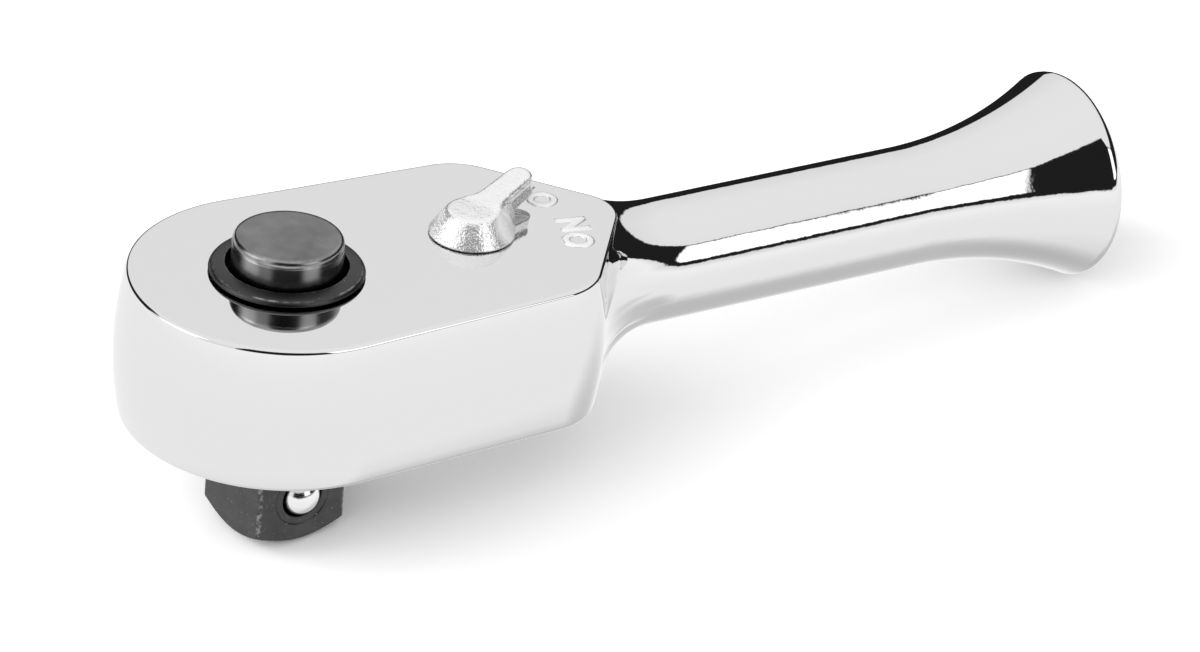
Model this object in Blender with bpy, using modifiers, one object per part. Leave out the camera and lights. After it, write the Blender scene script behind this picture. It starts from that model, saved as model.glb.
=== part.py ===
"""Stub-handled quick-release ratchet, 3/8 inch drive, as separate pieces on their joint axes.

Frame: origin at the centre of the drive square's end face, +Z up the drive axis to the release
button, +X along the handle. Sizes are millimetres and become metres when a mesh is made.
"""

import math

import bmesh
import bpy
from mathutils import Matrix, Vector

MM = 0.001
ROUND_STEPS = 40
SMALL_STEPS = 24
SCREW_STEPS = 16
SEAL_SIDES = 6
HANDLE_SIDES = 28
NECK_RINGS = 12
FLARE_RINGS = 10

# Clearances between pieces
SEAT_GAP = 0.3
SLIP_GAP = 0.25
RUN_GAP = 0.08
BALL_GAP = 0.1
HUB_DROP = 0.1
CUT_OVER = 1.0
FORM_LAP = 0.5

# Head of the forging: outline at its top edge, and the belly of its side wall
HEAD_HEIGHT = 14.5
HEAD_NOSE_RADIUS = 14.6
HEAD_SIDE_TAPER = math.radians(2.9)
HEAD_CORNER_RADIUS = 6.0
HEAD_TAIL_ANGLE = math.radians(52.0)
HEAD_TAIL_RADIUS = 3.9
HEAD_TAIL_X = 34.45
HEAD_BELLY = 0.95
HEAD_BELLY_DEPTH = 8.0
HEAD_TOP_ROUND = 0.3
HEAD_BOTTOM_ROUND = 0.9
TOP_WALL = 3.2

# Handle of the forging
GRIP_RADIUS = 5.9
HANDLE_RISE = 0.1
NECK_PLAN_RADIUS = 12.0
NECK_SIDE_RADIUS = 17.0
NECK_ROOT_DROP = 0.5
NECK_SQUARENESS = 2.6
FLARE_START_X = 68.0
FLARE_RADIUS = 42.5
HANDLE_END_X = 88.55
END_ROUND = 1.3
END_DOME = 0.5
END_CROWN_SHARE = 0.4

# Drive: square, journals and ratchet gear
SQUARE_SIDE = 9.525
SQUARE_CORNER_RADIUS = 0.75
SQUARE_LENGTH = 11.1
SQUARE_END_RADIUS = 4.65
SQUARE_END_SLOPE = math.radians(30)
SHOULDER_PROUD = 0.4
DRIVE_ANGLE = math.radians(5)
JOURNAL_RADIUS = 6.9
HUB_RADIUS = 6.8
GEAR_TEETH = 36
GEAR_TIP_RADIUS = 10.0
GEAR_TOOTH_DEPTH = 0.9
GEAR_LAND = 0.25
GEAR_BORE_GAP = 0.5

# Cover plate, its screws, and the shim under the gear
COVER_THICKNESS = 2.0
COVER_NOSE_RADIUS = 13.3
COVER_TAIL_X = 23.5
COVER_TAIL_Y = 6.5
COVER_TAIL_RADIUS = 3.4
SCREW_NOSE_REACH = 11.95
SCREW_NOSE_ANGLE = math.radians(125)
SCREW_TAIL_X = 24.0
SCREW_TAIL_Y = 7.1
SCREW_HEAD_RADIUS = 1.6
SCREW_SHANK_RADIUS = 0.75
SCREW_LENGTH = 5.0
SCREW_HEAD_HEIGHT = 0.85
SCREW_SOCKET_RADIUS = 0.75
SCREW_SOCKET_DEPTH = 0.7
SHIM_THICKNESS = 0.6
SHIM_WIDTH = 1.7

# Quick release: button, stem, spring, collar and detent ball
BUTTON_RADIUS = 5.15
BUTTON_PROUD = 3.85
BUTTON_EDGE_ROUND = 0.45
BUTTON_FLANGE_RADIUS = 5.95
BUTTON_FLANGE_THICKNESS = 0.8
BUTTON_TRAVEL = 2.0
COLLAR_BORE_RADIUS = 5.62
COLLAR_RADIUS = 7.2
COLLAR_INNER_HEIGHT = 0.95
COLLAR_OUTER_HEIGHT = 0.7
COLLAR_SHOULDER_RADIUS = 6.9
COLLAR_RIM_HEIGHT = 0.2
COLLAR_SKIRT_THICKNESS = 0.35
COLLAR_SKIRT_DEPTH = 1.2
BALL_RADIUS = 1.75
BALL_HEIGHT = 4.5
BALL_PROUD = 1.0
BALL_RETREAT = 1.0
BALL_LIP_DEPTH = 0.15
BALL_LIP_RADIUS = 1.72
BALL_SINK_RADIUS = 2.3
STEM_RADIUS = 1.9
STEM_TIP_BELOW_BALL = 0.9
STEM_SOCKET_DEPTH = 3.0
STEM_FOOT_WALL = 1.2
SPRING_WIRE_RADIUS = 0.35
SPRING_COIL_RADIUS = 3.4
SPRING_TURNS = 4.5
SPRING_LENGTH = 6.0

# Reversing lever with its detent, and the pawl on the same axis
LEVER_X = 19.3
LEVER_ANGLE = math.radians(26.6)
LEVER_DOME_RADIUS = 4.1
LEVER_DOME_TOP_RADIUS = 2.7
LEVER_DOME_HEIGHT = 2.6
LEVER_DOME_EDGE_ROUND = 0.4
LEVER_RIM_HEIGHT = 0.2
LEVER_ARM_REACH = 8.6
LEVER_ARM_WIDTH = 2.6
LEVER_ARM_ROOT_WIDTH = 3.6
LEVER_ARM_THICKNESS = 1.5
LEVER_ARM_PITCH = math.radians(8)
LEVER_ARM_PROUD = 1.65
LEVER_SHAFT_RADIUS = 3.0
LEVER_GROOVE_DEPTH = 0.7
LEVER_SEAL_RADIUS = 0.38
LEVER_SEAL_DROP = 1.4
CLIP_RADIUS = 4.3
CLIP_THICKNESS = 0.5
CLIP_GAP_ANGLE = math.radians(50)
DETENT_BALL_RADIUS = 1.0
DETENT_BALL_REACH = 3.1
DETENT_HOLE_DEPTH = 4.6
DETENT_WIRE_RADIUS = 0.16
DETENT_COIL_RADIUS = 0.7
DETENT_TURNS = 5
DETENT_NOTCH_ANGLE = math.radians(23)
DETENT_TRACK_ANGLE = math.radians(45)
DETENT_RIDGE = 0.3
PAWL_SWING = math.radians(3.2)
PAWL_BOSS_RADIUS = 6.0
PAWL_BOSS_ANGLE = math.radians(105)
PAWL_BACK_RADIUS = 11.9
PAWL_RELIEF_RADIUS = 11.3
PAWL_TOOTH_GAP = 0.2
PAWL_FIRST_TOOTH = 3
PAWL_TEETH = 3
PAWL_TIP_ANGLE = math.radians(60)
PAWL_POCKET_GAP = 0.7
SEAL_RADIUS = 0.4

# Heights worked out from the sizes above
HEAD_BOTTOM = SQUARE_LENGTH + SHOULDER_PROUD
HEAD_TOP = HEAD_BOTTOM + HEAD_HEIGHT
HANDLE_Z = HEAD_BOTTOM + HEAD_HEIGHT / 2 + HANDLE_RISE
CEILING = HEAD_TOP - TOP_WALL
COVER_TOP = HEAD_BOTTOM + COVER_THICKNESS
SHIM_BOTTOM = COVER_TOP + SLIP_GAP
GEAR_BOTTOM = SHIM_BOTTOM + SHIM_THICKNESS + SLIP_GAP
GEAR_TOP = CEILING - SEAT_GAP
HUB_TOP = HEAD_TOP - HUB_DROP
GEAR_ROOT_RADIUS = GEAR_TIP_RADIUS - GEAR_TOOTH_DEPTH
GEAR_BORE_RADIUS = GEAR_TIP_RADIUS + GEAR_BORE_GAP
TOOTH_PITCH = 2 * math.pi / GEAR_TEETH
BUTTON_TOP = HEAD_TOP + BUTTON_PROUD
COLLAR_BOTTOM = HEAD_TOP + SLIP_GAP
COLLAR_SKIRT_BOTTOM = COLLAR_BOTTOM - COLLAR_SKIRT_DEPTH
FLANGE_TOP = COLLAR_SKIRT_BOTTOM - SEAT_GAP
FLANGE_BOTTOM = FLANGE_TOP - BUTTON_FLANGE_THICKNESS
BUTTON_BORE_RADIUS = BUTTON_FLANGE_RADIUS + RUN_GAP
BUTTON_BORE_FLOOR = FLANGE_BOTTOM - BUTTON_TRAVEL - 2 * SEAT_GAP
SPRING_FLOOR = FLANGE_BOTTOM - SPRING_LENGTH - 2 * SEAT_GAP
SPRING_BORE_RADIUS = SPRING_COIL_RADIUS + SPRING_WIRE_RADIUS + SLIP_GAP
STEM_BORE_RADIUS = STEM_RADIUS + RUN_GAP
STEM_WAIST_RADIUS = STEM_RADIUS - BALL_RETREAT
BALL_REACH = SQUARE_SIDE / 2 + BALL_PROUD - BALL_RADIUS
STEM_TOP = FLANGE_BOTTOM + STEM_SOCKET_DEPTH - SEAT_GAP
PAWL_BOTTOM = COVER_TOP + SEAT_GAP
PAWL_TOP = CEILING - SEAT_GAP
PAWL_MID = (PAWL_BOTTOM + PAWL_TOP) / 2
CLIP_BOTTOM = CEILING + SEAT_GAP
CLIP_TOP = CLIP_BOTTOM + CLIP_THICKNESS
SHAFT_BOTTOM = COVER_TOP + SEAT_GAP
SHAFT_BORE_RADIUS = LEVER_SHAFT_RADIUS + RUN_GAP


def start_scene():
    for old in list(bpy.data.objects):
        bpy.data.objects.remove(old)
    groups = []
    for name in ("quick_release_ratchet", "cutters"):
        group = bpy.data.collections.new(name)
        bpy.context.scene.collection.children.link(group)
        groups.append(group)
    return groups


PARTS, CUTTERS = start_scene()


def finish_of(name, colour, roughness):
    material = bpy.data.materials.new(name)
    material.use_nodes = True
    shader = material.node_tree.nodes["Principled BSDF"]
    shader.inputs["Base Color"].default_value = (*colour, 1)
    shader.inputs["Roughness"].default_value = roughness
    shader.inputs["Metallic"].default_value = 0.0 if name == "nitrile_rubber" else 1.0
    return material


CHROME = finish_of("polished_chrome", (0.86, 0.86, 0.87), 0.05)
BLACK_OXIDE = finish_of("black_oxide_steel", (0.06, 0.06, 0.065), 0.38)
GUNMETAL = finish_of("gunmetal_steel", (0.10, 0.10, 0.105), 0.3)
CAST_ZINC = finish_of("plated_zinc", (0.75, 0.75, 0.76), 0.25)
BRIGHT_STEEL = finish_of("bright_steel", (0.7, 0.7, 0.72), 0.2)
RUBBER = finish_of("nitrile_rubber", (0.02, 0.02, 0.02), 0.6)


def empty_at(name, place, turn=0.0, parent=None):
    axis = bpy.data.objects.new(name, None)
    PARTS.objects.link(axis)
    axis.parent = parent
    axis.location = Vector(place) * MM
    axis.rotation_euler.z = turn
    return axis


def object_of(name, bm, material=None):
    """A mesh object from a bmesh in millimetres. With no material it is a cutter."""
    bmesh.ops.remove_doubles(bm, verts=bm.verts, dist=1e-5)
    bmesh.ops.recalc_face_normals(bm, faces=bm.faces)
    bmesh.ops.scale(bm, vec=(MM, MM, MM), verts=bm.verts)
    mesh = bpy.data.meshes.new(name)
    bm.to_mesh(mesh)
    bm.free()
    mesh.shade_smooth()
    mesh.set_sharp_from_angle(angle=math.radians(35))
    made = bpy.data.objects.new(name, mesh)
    if material:
        mesh.materials.append(material)
        PARTS.objects.link(made)
    else:
        CUTTERS.objects.link(made)
        made.hide_render = True
        made.display_type = "WIRE"
    return made


def evaluated_bmesh(helper):
    """The helper's evaluated mesh in millimetres, and the helper is removed."""
    bpy.context.scene.collection.objects.link(helper)
    graph = bpy.context.evaluated_depsgraph_get()
    mesh = bpy.data.meshes.new_from_object(helper.evaluated_get(graph))
    bm = bmesh.new()
    bm.from_mesh(mesh)
    bmesh.ops.scale(bm, vec=(1 / MM,) * 3, verts=bm.verts)
    bpy.data.objects.remove(helper)
    bpy.data.meshes.remove(mesh)
    return bm


def turned(name, profile, material=None, steps=ROUND_STEPS, ring=False):
    """A profile of (radius, height) points, outer side from top to bottom, spun round Z."""
    mesh = bpy.data.meshes.new(name)
    count = len(profile)
    edges = [(i, i + 1) for i in range(count - 1)]
    if ring:
        edges.append((count - 1, 0))
    mesh.from_pydata([(r * MM, 0, z * MM) for r, z in profile], edges, [])
    helper = bpy.data.objects.new(name, mesh)
    screw = helper.modifiers.new("spin", "SCREW")
    screw.steps = screw.render_steps = steps
    screw.use_merge_vertices = True
    screw.merge_threshold = 1e-6
    return object_of(name, evaluated_bmesh(helper), material)


def disc(name, radius, low, high, material=None, steps=ROUND_STEPS):
    bm = bmesh.new()
    middle = Matrix.Translation((0, 0, (low + high) / 2))
    sizes = {"segments": steps, "radius1": radius, "radius2": radius, "depth": high - low}
    bmesh.ops.create_cone(bm, cap_ends=True, matrix=middle, **sizes)
    return object_of(name, bm, material)


def washer(name, inner, outer, low, high, material):
    return turned(name, [(outer, high), (outer, low), (inner, low), (inner, high)], material, ring=True)


def seal(name, ring_radius, tube_radius, height):
    profile = []
    for i in range(SEAL_SIDES):
        turn = math.pi / 2 - 2 * math.pi * i / SEAL_SIDES
        profile.append((ring_radius + tube_radius * math.cos(turn), height + tube_radius * math.sin(turn)))
    return turned(name, profile, RUBBER, SMALL_STEPS, ring=True)


def extruded(name, outline, low, high, material=None):
    """A flat outline of (x, y) points, filled and drawn up between two heights."""
    curve = bpy.data.curves.new(name, "CURVE")
    curve.dimensions = "2D"
    curve.fill_mode = "BOTH"
    curve.extrude = (high - low) / 2 * MM
    spline = curve.splines.new("POLY")
    spline.points.add(len(outline) - 1)
    for point, (x, y) in zip(spline.points, outline):
        point.co = (x * MM, y * MM, 0, 1)
    spline.use_cyclic_u = True
    bm = evaluated_bmesh(bpy.data.objects.new(name, curve))
    bmesh.ops.translate(bm, vec=(0, 0, (low + high) / 2), verts=bm.verts)
    return object_of(name, bm, material)


def hull_prism(name, circles, low, high, material=None):
    """The upright prism that wraps circles given as (x, y, radius)."""
    bm = bmesh.new()
    for x, y, radius in circles:
        for z in (low, high):
            place = Matrix.Translation((x, y, z))
            bmesh.ops.create_circle(bm, segments=ROUND_STEPS, radius=radius, matrix=place)
    bmesh.ops.convex_hull(bm, input=bm.verts)
    bmesh.ops.dissolve_limit(bm, angle_limit=math.radians(0.5), verts=bm.verts, edges=bm.edges)
    return object_of(name, bm, material)


def coil(name, coil_radius, wire_radius, low, high, turns, material, points_per_turn=12):
    """An open helical spring between two heights, wire surface to wire surface."""
    curve = bpy.data.curves.new(name, "CURVE")
    curve.dimensions = "3D"
    curve.bevel_depth = wire_radius * MM
    curve.bevel_resolution = 0 if points_per_turn < 10 else 1
    curve.use_fill_caps = True
    count = round(turns * points_per_turn) + 1
    rise = (high - low - 2 * wire_radius) / (count - 1)
    spline = curve.splines.new("POLY")
    spline.points.add(count - 1)
    for i, point in enumerate(spline.points):
        turn = 2 * math.pi * i / points_per_turn
        height = low + wire_radius + rise * i
        point.co = (coil_radius * math.cos(turn) * MM, coil_radius * math.sin(turn) * MM, height * MM, 1)
    print(name, "gap between turns, mm:", round(rise * points_per_turn - 2 * wire_radius, 3))
    return object_of(name, evaluated_bmesh(bpy.data.objects.new(name, curve)), material)


def boolean(target, other, operation):
    step = target.modifiers.new(other.name, "BOOLEAN")
    step.operation = operation
    step.object = other


def cut(target, *cutters):
    for cutter in cutters:
        boolean(target, cutter, "DIFFERENCE")


def join(target, *pieces):
    for piece in pieces:
        boolean(target, piece, "UNION")


def hang(piece, parent):
    piece.parent = parent
    return piece


def arc(cx, cy, radius, start, end, steps):
    """Points with outward normals along an arc, both ends included."""
    points = []
    for i in range(steps + 1):
        turn = start + (end - start) * i / steps
        normal = (math.cos(turn), math.sin(turn))
        points.append((cx + radius * normal[0], cy + radius * normal[1], *normal))
    return points


def head_outline():
    """Top outline of the head, counter-clockwise, as (x, y, normal x, normal y)."""
    side = (math.sin(HEAD_SIDE_TAPER), math.cos(HEAD_SIDE_TAPER))
    tail = (math.sin(HEAD_TAIL_ANGLE), math.cos(HEAD_TAIL_ANGLE))
    tail_centre_x = HEAD_TAIL_X - HEAD_TAIL_RADIUS
    side_line = HEAD_NOSE_RADIUS - HEAD_CORNER_RADIUS
    tail_line = tail[0] * tail_centre_x + HEAD_TAIL_RADIUS - HEAD_CORNER_RADIUS
    spread = side[0] * tail[1] - side[1] * tail[0]
    corner_x = (side_line * tail[1] - side[1] * tail_line) / spread
    corner_y = (side[0] * tail_line - side_line * tail[0]) / spread
    side_turn = math.pi / 2 - HEAD_SIDE_TAPER
    tail_turn = math.pi / 2 - HEAD_TAIL_ANGLE
    half = arc(tail_centre_x, 0, HEAD_TAIL_RADIUS, 0, tail_turn, 4)
    half += arc(corner_x, corner_y, HEAD_CORNER_RADIUS, tail_turn, side_turn, 4)
    half += arc(0, 0, HEAD_NOSE_RADIUS, side_turn, math.pi, 14)
    mirrored = [(x, -y, nx, -ny) for x, y, nx, ny in reversed(half[1:-1])]
    return half + mirrored


def belly_at(depth):
    """How far the side wall stands out of the top outline at a depth under the top face."""
    share = (depth - HEAD_BELLY_DEPTH) / HEAD_BELLY_DEPTH
    return HEAD_BELLY * (1 - share * share)


def wall_levels():
    """(height, offset from the top outline) down the head's side wall, with both edges rounded."""
    levels = [(HEAD_TOP, -HEAD_TOP_ROUND)]
    depths = [HEAD_TOP_ROUND] + [HEAD_HEIGHT * share for share in (0.16, 0.33, 0.5, 0.67, 0.82)]
    levels += [(HEAD_TOP - depth, belly_at(depth)) for depth in depths]
    lower = belly_at(HEAD_HEIGHT - HEAD_BOTTOM_ROUND)
    for turn in (0, math.pi / 6, math.pi / 3, math.pi / 2):
        sink = HEAD_BOTTOM_ROUND * (1 - math.cos(turn))
        levels.append((HEAD_BOTTOM + HEAD_BOTTOM_ROUND * (1 - math.sin(turn)), lower - sink))
    return levels


def loft(name, loops, material=None):
    """A closed solid through loops of points that have the same count."""
    bm = bmesh.new()
    rings = [[bm.verts.new(point) for point in loop] for loop in loops]
    for ring in rings:
        for a, b in zip(ring, ring[1:] + ring[:1]):
            bm.edges.new((a, b))
    for upper, lower in zip(rings, rings[1:]):
        edges = [e for e in bm.edges if all(v in upper for v in e.verts) or all(v in lower for v in e.verts)]
        bmesh.ops.bridge_loops(bm, edges=edges)
    for ring in (rings[0], rings[-1]):
        bm.faces.new(ring)
    return object_of(name, bm, material)


def head_solid(name, material):
    outline = head_outline()
    loops = []
    for height, offset in wall_levels():
        loops.append([(x + nx * offset, y + ny * offset, height) for x, y, nx, ny in outline])
    return loft(name, loops, material)


def neck_plan_end():
    """X where the neck's plan arc, which leaves the head's tail wall, has come into the grip."""
    slope = HEAD_TAIL_ANGLE
    wall = (HEAD_TAIL_X - HEAD_TAIL_RADIUS) * math.sin(slope) + HEAD_TAIL_RADIUS + HEAD_BELLY
    meet_x = (wall - GRIP_RADIUS * math.cos(slope)) / math.sin(slope)
    return meet_x + NECK_PLAN_RADIUS * math.tan(slope / 2)


def neck_half_width(x):
    """Plan half width of the neck: a concave arc from the head's tail wall into the grip."""
    slope = HEAD_TAIL_ANGLE
    end_x = neck_plan_end()
    if x >= end_x:
        return GRIP_RADIUS
    steepest = NECK_PLAN_RADIUS * math.sin(slope)
    run = min(end_x - x, steepest)
    rise = NECK_PLAN_RADIUS - math.sqrt(NECK_PLAN_RADIUS**2 - run**2)
    return GRIP_RADIUS + rise + (end_x - x - run) * math.tan(slope)


def neck_side_run():
    """Length along X of the neck's side arc, from its root height down to the grip."""
    rise = HEAD_HEIGHT / 2 - NECK_ROOT_DROP - GRIP_RADIUS
    return math.sqrt(NECK_SIDE_RADIUS**2 - (NECK_SIDE_RADIUS - rise) ** 2)


def neck_half_height(x):
    """Side half height of the neck: just under the head's faces, then a concave arc into the grip."""
    run = neck_side_run()
    along = min(max(HEAD_TAIL_X + run - x, 0), run)
    return GRIP_RADIUS + NECK_SIDE_RADIUS - math.sqrt(NECK_SIDE_RADIUS**2 - along**2)


def flare_radius(x):
    along = max(x - FLARE_START_X, 0)
    return GRIP_RADIUS + FLARE_RADIUS - math.sqrt(FLARE_RADIUS**2 - along**2)


def handle_section(x, half_width, half_height, squareness=0.0):
    """A ring round the handle's axis: an ellipse, or a squarer ring towards the head."""
    power = 2 / (2 + squareness)
    ring = []
    for i in range(HANDLE_SIDES):
        turn = 2 * math.pi * i / HANDLE_SIDES
        c, s = math.cos(turn), math.sin(turn)
        y = half_width * math.copysign(abs(c) ** power, c)
        z = half_height * math.copysign(abs(s) ** power, s)
        ring.append((x, y, HANDLE_Z + z))
    return ring


def handle_solid(name):
    rings = []
    root_x = HEAD_TAIL_X - 2 * HEAD_TAIL_RADIUS
    neck_x = max(neck_plan_end(), HEAD_TAIL_X + neck_side_run())
    rim_x = HANDLE_END_X - END_DOME - END_ROUND
    for i in range(NECK_RINGS + 1):
        x = root_x + (neck_x - root_x) * i / NECK_RINGS
        half_width = neck_half_width(x)
        squareness = NECK_SQUARENESS * (half_width / GRIP_RADIUS - 1)
        rings.append(handle_section(x, half_width, neck_half_height(x), squareness))
    for i in range(FLARE_RINGS + 1):
        x = FLARE_START_X + (rim_x - FLARE_START_X) * i / FLARE_RINGS
        rings.append(handle_section(x, flare_radius(x), flare_radius(x)))
    rim = flare_radius(rim_x)
    for turn in (math.pi / 6, math.pi / 3, math.pi / 2):
        radius = rim - END_ROUND * (1 - math.cos(turn))
        rings.append(handle_section(rim_x + END_ROUND * math.sin(turn), radius, radius))
    crown = rim * END_CROWN_SHARE
    rings.append(handle_section(HANDLE_END_X, crown, crown))
    return loft(name, rings)


def screw_places():
    nose = (SCREW_NOSE_REACH * math.cos(SCREW_NOSE_ANGLE), SCREW_NOSE_REACH * math.sin(SCREW_NOSE_ANGLE))
    places = []
    for x, y in (nose, (SCREW_TAIL_X, SCREW_TAIL_Y)):
        places += [(x, y), (x, -y)]
    return places


def cover_circles(gap=0.0):
    circles = [(0, 0, COVER_NOSE_RADIUS + gap)]
    for side in (1, -1):
        circles.append((COVER_TAIL_X, side * COVER_TAIL_Y, COVER_TAIL_RADIUS + gap))
    return circles


def pawl_pocket_circles():
    """Room for the pawl's boss and for its tips, swung either way."""
    reach = (PAWL_BACK_RADIUS + GEAR_TIP_RADIUS) / 2
    swing_out = LEVER_X * math.sin(PAWL_TIP_ANGLE) * 2 * PAWL_SWING
    tip_radius = (PAWL_BACK_RADIUS - GEAR_TIP_RADIUS) / 2 + swing_out / 2 + PAWL_POCKET_GAP
    tip_reach = reach + swing_out / 2
    circles = [(LEVER_X, 0, PAWL_BOSS_RADIUS + PAWL_POCKET_GAP)]
    for side in (1, -1):
        x = tip_reach * math.cos(PAWL_TIP_ANGLE)
        y = side * tip_reach * math.sin(PAWL_TIP_ANGLE)
        circles.append((x, y, tip_radius))
    return circles


def make_body():
    """The forging: head, neck and flared handle in one piece, bored for the works."""
    body = head_solid("ratchet_body", CHROME)
    handle = handle_solid("handle_form")
    join(body, handle)
    pocket_top = COVER_TOP + SLIP_GAP / 2
    cut(
        body,
        hull_prism("cover_pocket", cover_circles(SLIP_GAP), HEAD_BOTTOM - CUT_OVER, pocket_top),
        disc("gear_bore", GEAR_BORE_RADIUS, HEAD_BOTTOM - CUT_OVER / 2, CEILING),
        hull_prism("pawl_pocket", pawl_pocket_circles(), HEAD_BOTTOM - CUT_OVER / 3, CEILING),
        disc("hub_bore", HUB_RADIUS + RUN_GAP, CEILING - CUT_OVER, HEAD_TOP + CUT_OVER),
        disc("lever_bore", SHAFT_BORE_RADIUS, CEILING - CUT_OVER, HEAD_TOP + CUT_OVER, steps=SMALL_STEPS),
        disc("clip_bore", CLIP_RADIUS + SEAT_GAP, CEILING - CUT_OVER / 2, CLIP_TOP + SEAT_GAP),
        disc("hub_seal_groove", hub_seal_ring() + SEAL_RADIUS, *groove(hub_seal_height())),
    )
    for cutter in ("lever_bore", "clip_bore"):
        bpy.data.objects[cutter].location.x = LEVER_X * MM
    for i, (x, y) in enumerate(screw_places()):
        radius = SCREW_SHANK_RADIUS + SLIP_GAP
        end = HEAD_BOTTOM + SCREW_LENGTH + SEAT_GAP
        tapped = disc(f"screw_hole_{i + 1}", radius, HEAD_BOTTOM, end, steps=SCREW_STEPS)
        tapped.location = (x * MM, y * MM, 0)
        cut(body, tapped)


def hub_seal_ring():
    return HUB_RADIUS + RUN_GAP + SEAL_RADIUS


def hub_seal_height():
    return (CEILING + HEAD_TOP) / 2


def cover_seal_height():
    return (HEAD_BOTTOM + COVER_TOP) / 2


def groove(height):
    return height - SEAL_RADIUS - BALL_GAP, height + SEAL_RADIUS + BALL_GAP


def make_cover():
    cover = hull_prism("cover_plate", cover_circles(), HEAD_BOTTOM, COVER_TOP, CHROME)
    bore = JOURNAL_RADIUS + RUN_GAP
    cut(cover, disc("journal_bore", bore, HEAD_BOTTOM - CUT_OVER, COVER_TOP + CUT_OVER))
    ring = bore + SEAL_RADIUS + BALL_GAP
    cut(cover, disc("cover_seal_groove", ring + SEAL_RADIUS, *groove(cover_seal_height())))
    for i, (x, y) in enumerate(screw_places()):
        head, shank = SCREW_HEAD_RADIUS + SLIP_GAP, SCREW_SHANK_RADIUS + SLIP_GAP
        sink_bottom = HEAD_BOTTOM + SCREW_HEAD_HEIGHT + SLIP_GAP
        above, below = COVER_TOP + CUT_OVER, HEAD_BOTTOM - CUT_OVER
        profile = [(0, above), (shank, above), (shank, sink_bottom)]
        profile += [(head, HEAD_BOTTOM + SLIP_GAP), (head, below), (0, below)]
        sink = turned(f"screw_sink_{i + 1}", profile, steps=SCREW_STEPS)
        sink.location = (x * MM, y * MM, 0)
        cut(cover, sink)
    seal("drive_seal", ring - BALL_GAP, SEAL_RADIUS - BALL_GAP, cover_seal_height())


def make_screws():
    bottom = HEAD_BOTTOM + SLIP_GAP / 2
    head_top = bottom + SCREW_HEAD_HEIGHT
    profile = [(0, bottom + SCREW_LENGTH), (SCREW_SHANK_RADIUS, bottom + SCREW_LENGTH)]
    profile += [(SCREW_SHANK_RADIUS, head_top), (SCREW_HEAD_RADIUS, bottom), (0, bottom)]
    first = None
    for i, (x, y) in enumerate(screw_places()):
        name = f"cover_screw_{i + 1}"
        if first is None:
            screw = first = turned(name, profile, BRIGHT_STEEL, SCREW_STEPS)
        else:
            screw = bpy.data.objects.new(name, first.data)
            PARTS.objects.link(screw)
        screw.location = (x * MM, y * MM, 0)
        floor = bottom + SCREW_SOCKET_DEPTH
        socket = disc(f"screw_socket_{i + 1}", SCREW_SOCKET_RADIUS, bottom - CUT_OVER, floor, steps=6)
        socket.location = screw.location
        cut(screw, socket)


def gear_outline():
    """Toothed outline with its gaps half a pitch off the X axis, seen from the turned drive."""
    root_half = GEAR_LAND / 2 / GEAR_ROOT_RADIUS
    tip_half = GEAR_LAND / 2 / GEAR_TIP_RADIUS
    outline = []
    for i in range(GEAR_TEETH):
        gap = (i + 0.5) * TOOTH_PITCH - DRIVE_ANGLE
        tooth = gap + TOOTH_PITCH / 2
        for radius, turn in (
            (GEAR_ROOT_RADIUS, gap - root_half),
            (GEAR_ROOT_RADIUS, gap + root_half),
            (GEAR_TIP_RADIUS, tooth - tip_half),
            (GEAR_TIP_RADIUS, tooth + tip_half),
        ):
            outline.append((radius * math.cos(turn), radius * math.sin(turn)))
    return outline


def square_outline():
    half = SQUARE_SIDE / 2 - SQUARE_CORNER_RADIUS
    outline = []
    for i, (sx, sy) in enumerate(((1, 1), (-1, 1), (-1, -1), (1, -1))):
        start = i * math.pi / 2
        for x, y, _, _ in arc(sx * half, sy * half, SQUARE_CORNER_RADIUS, start, start + math.pi / 2, 4):
            outline.append((x, y))
    return outline


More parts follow.
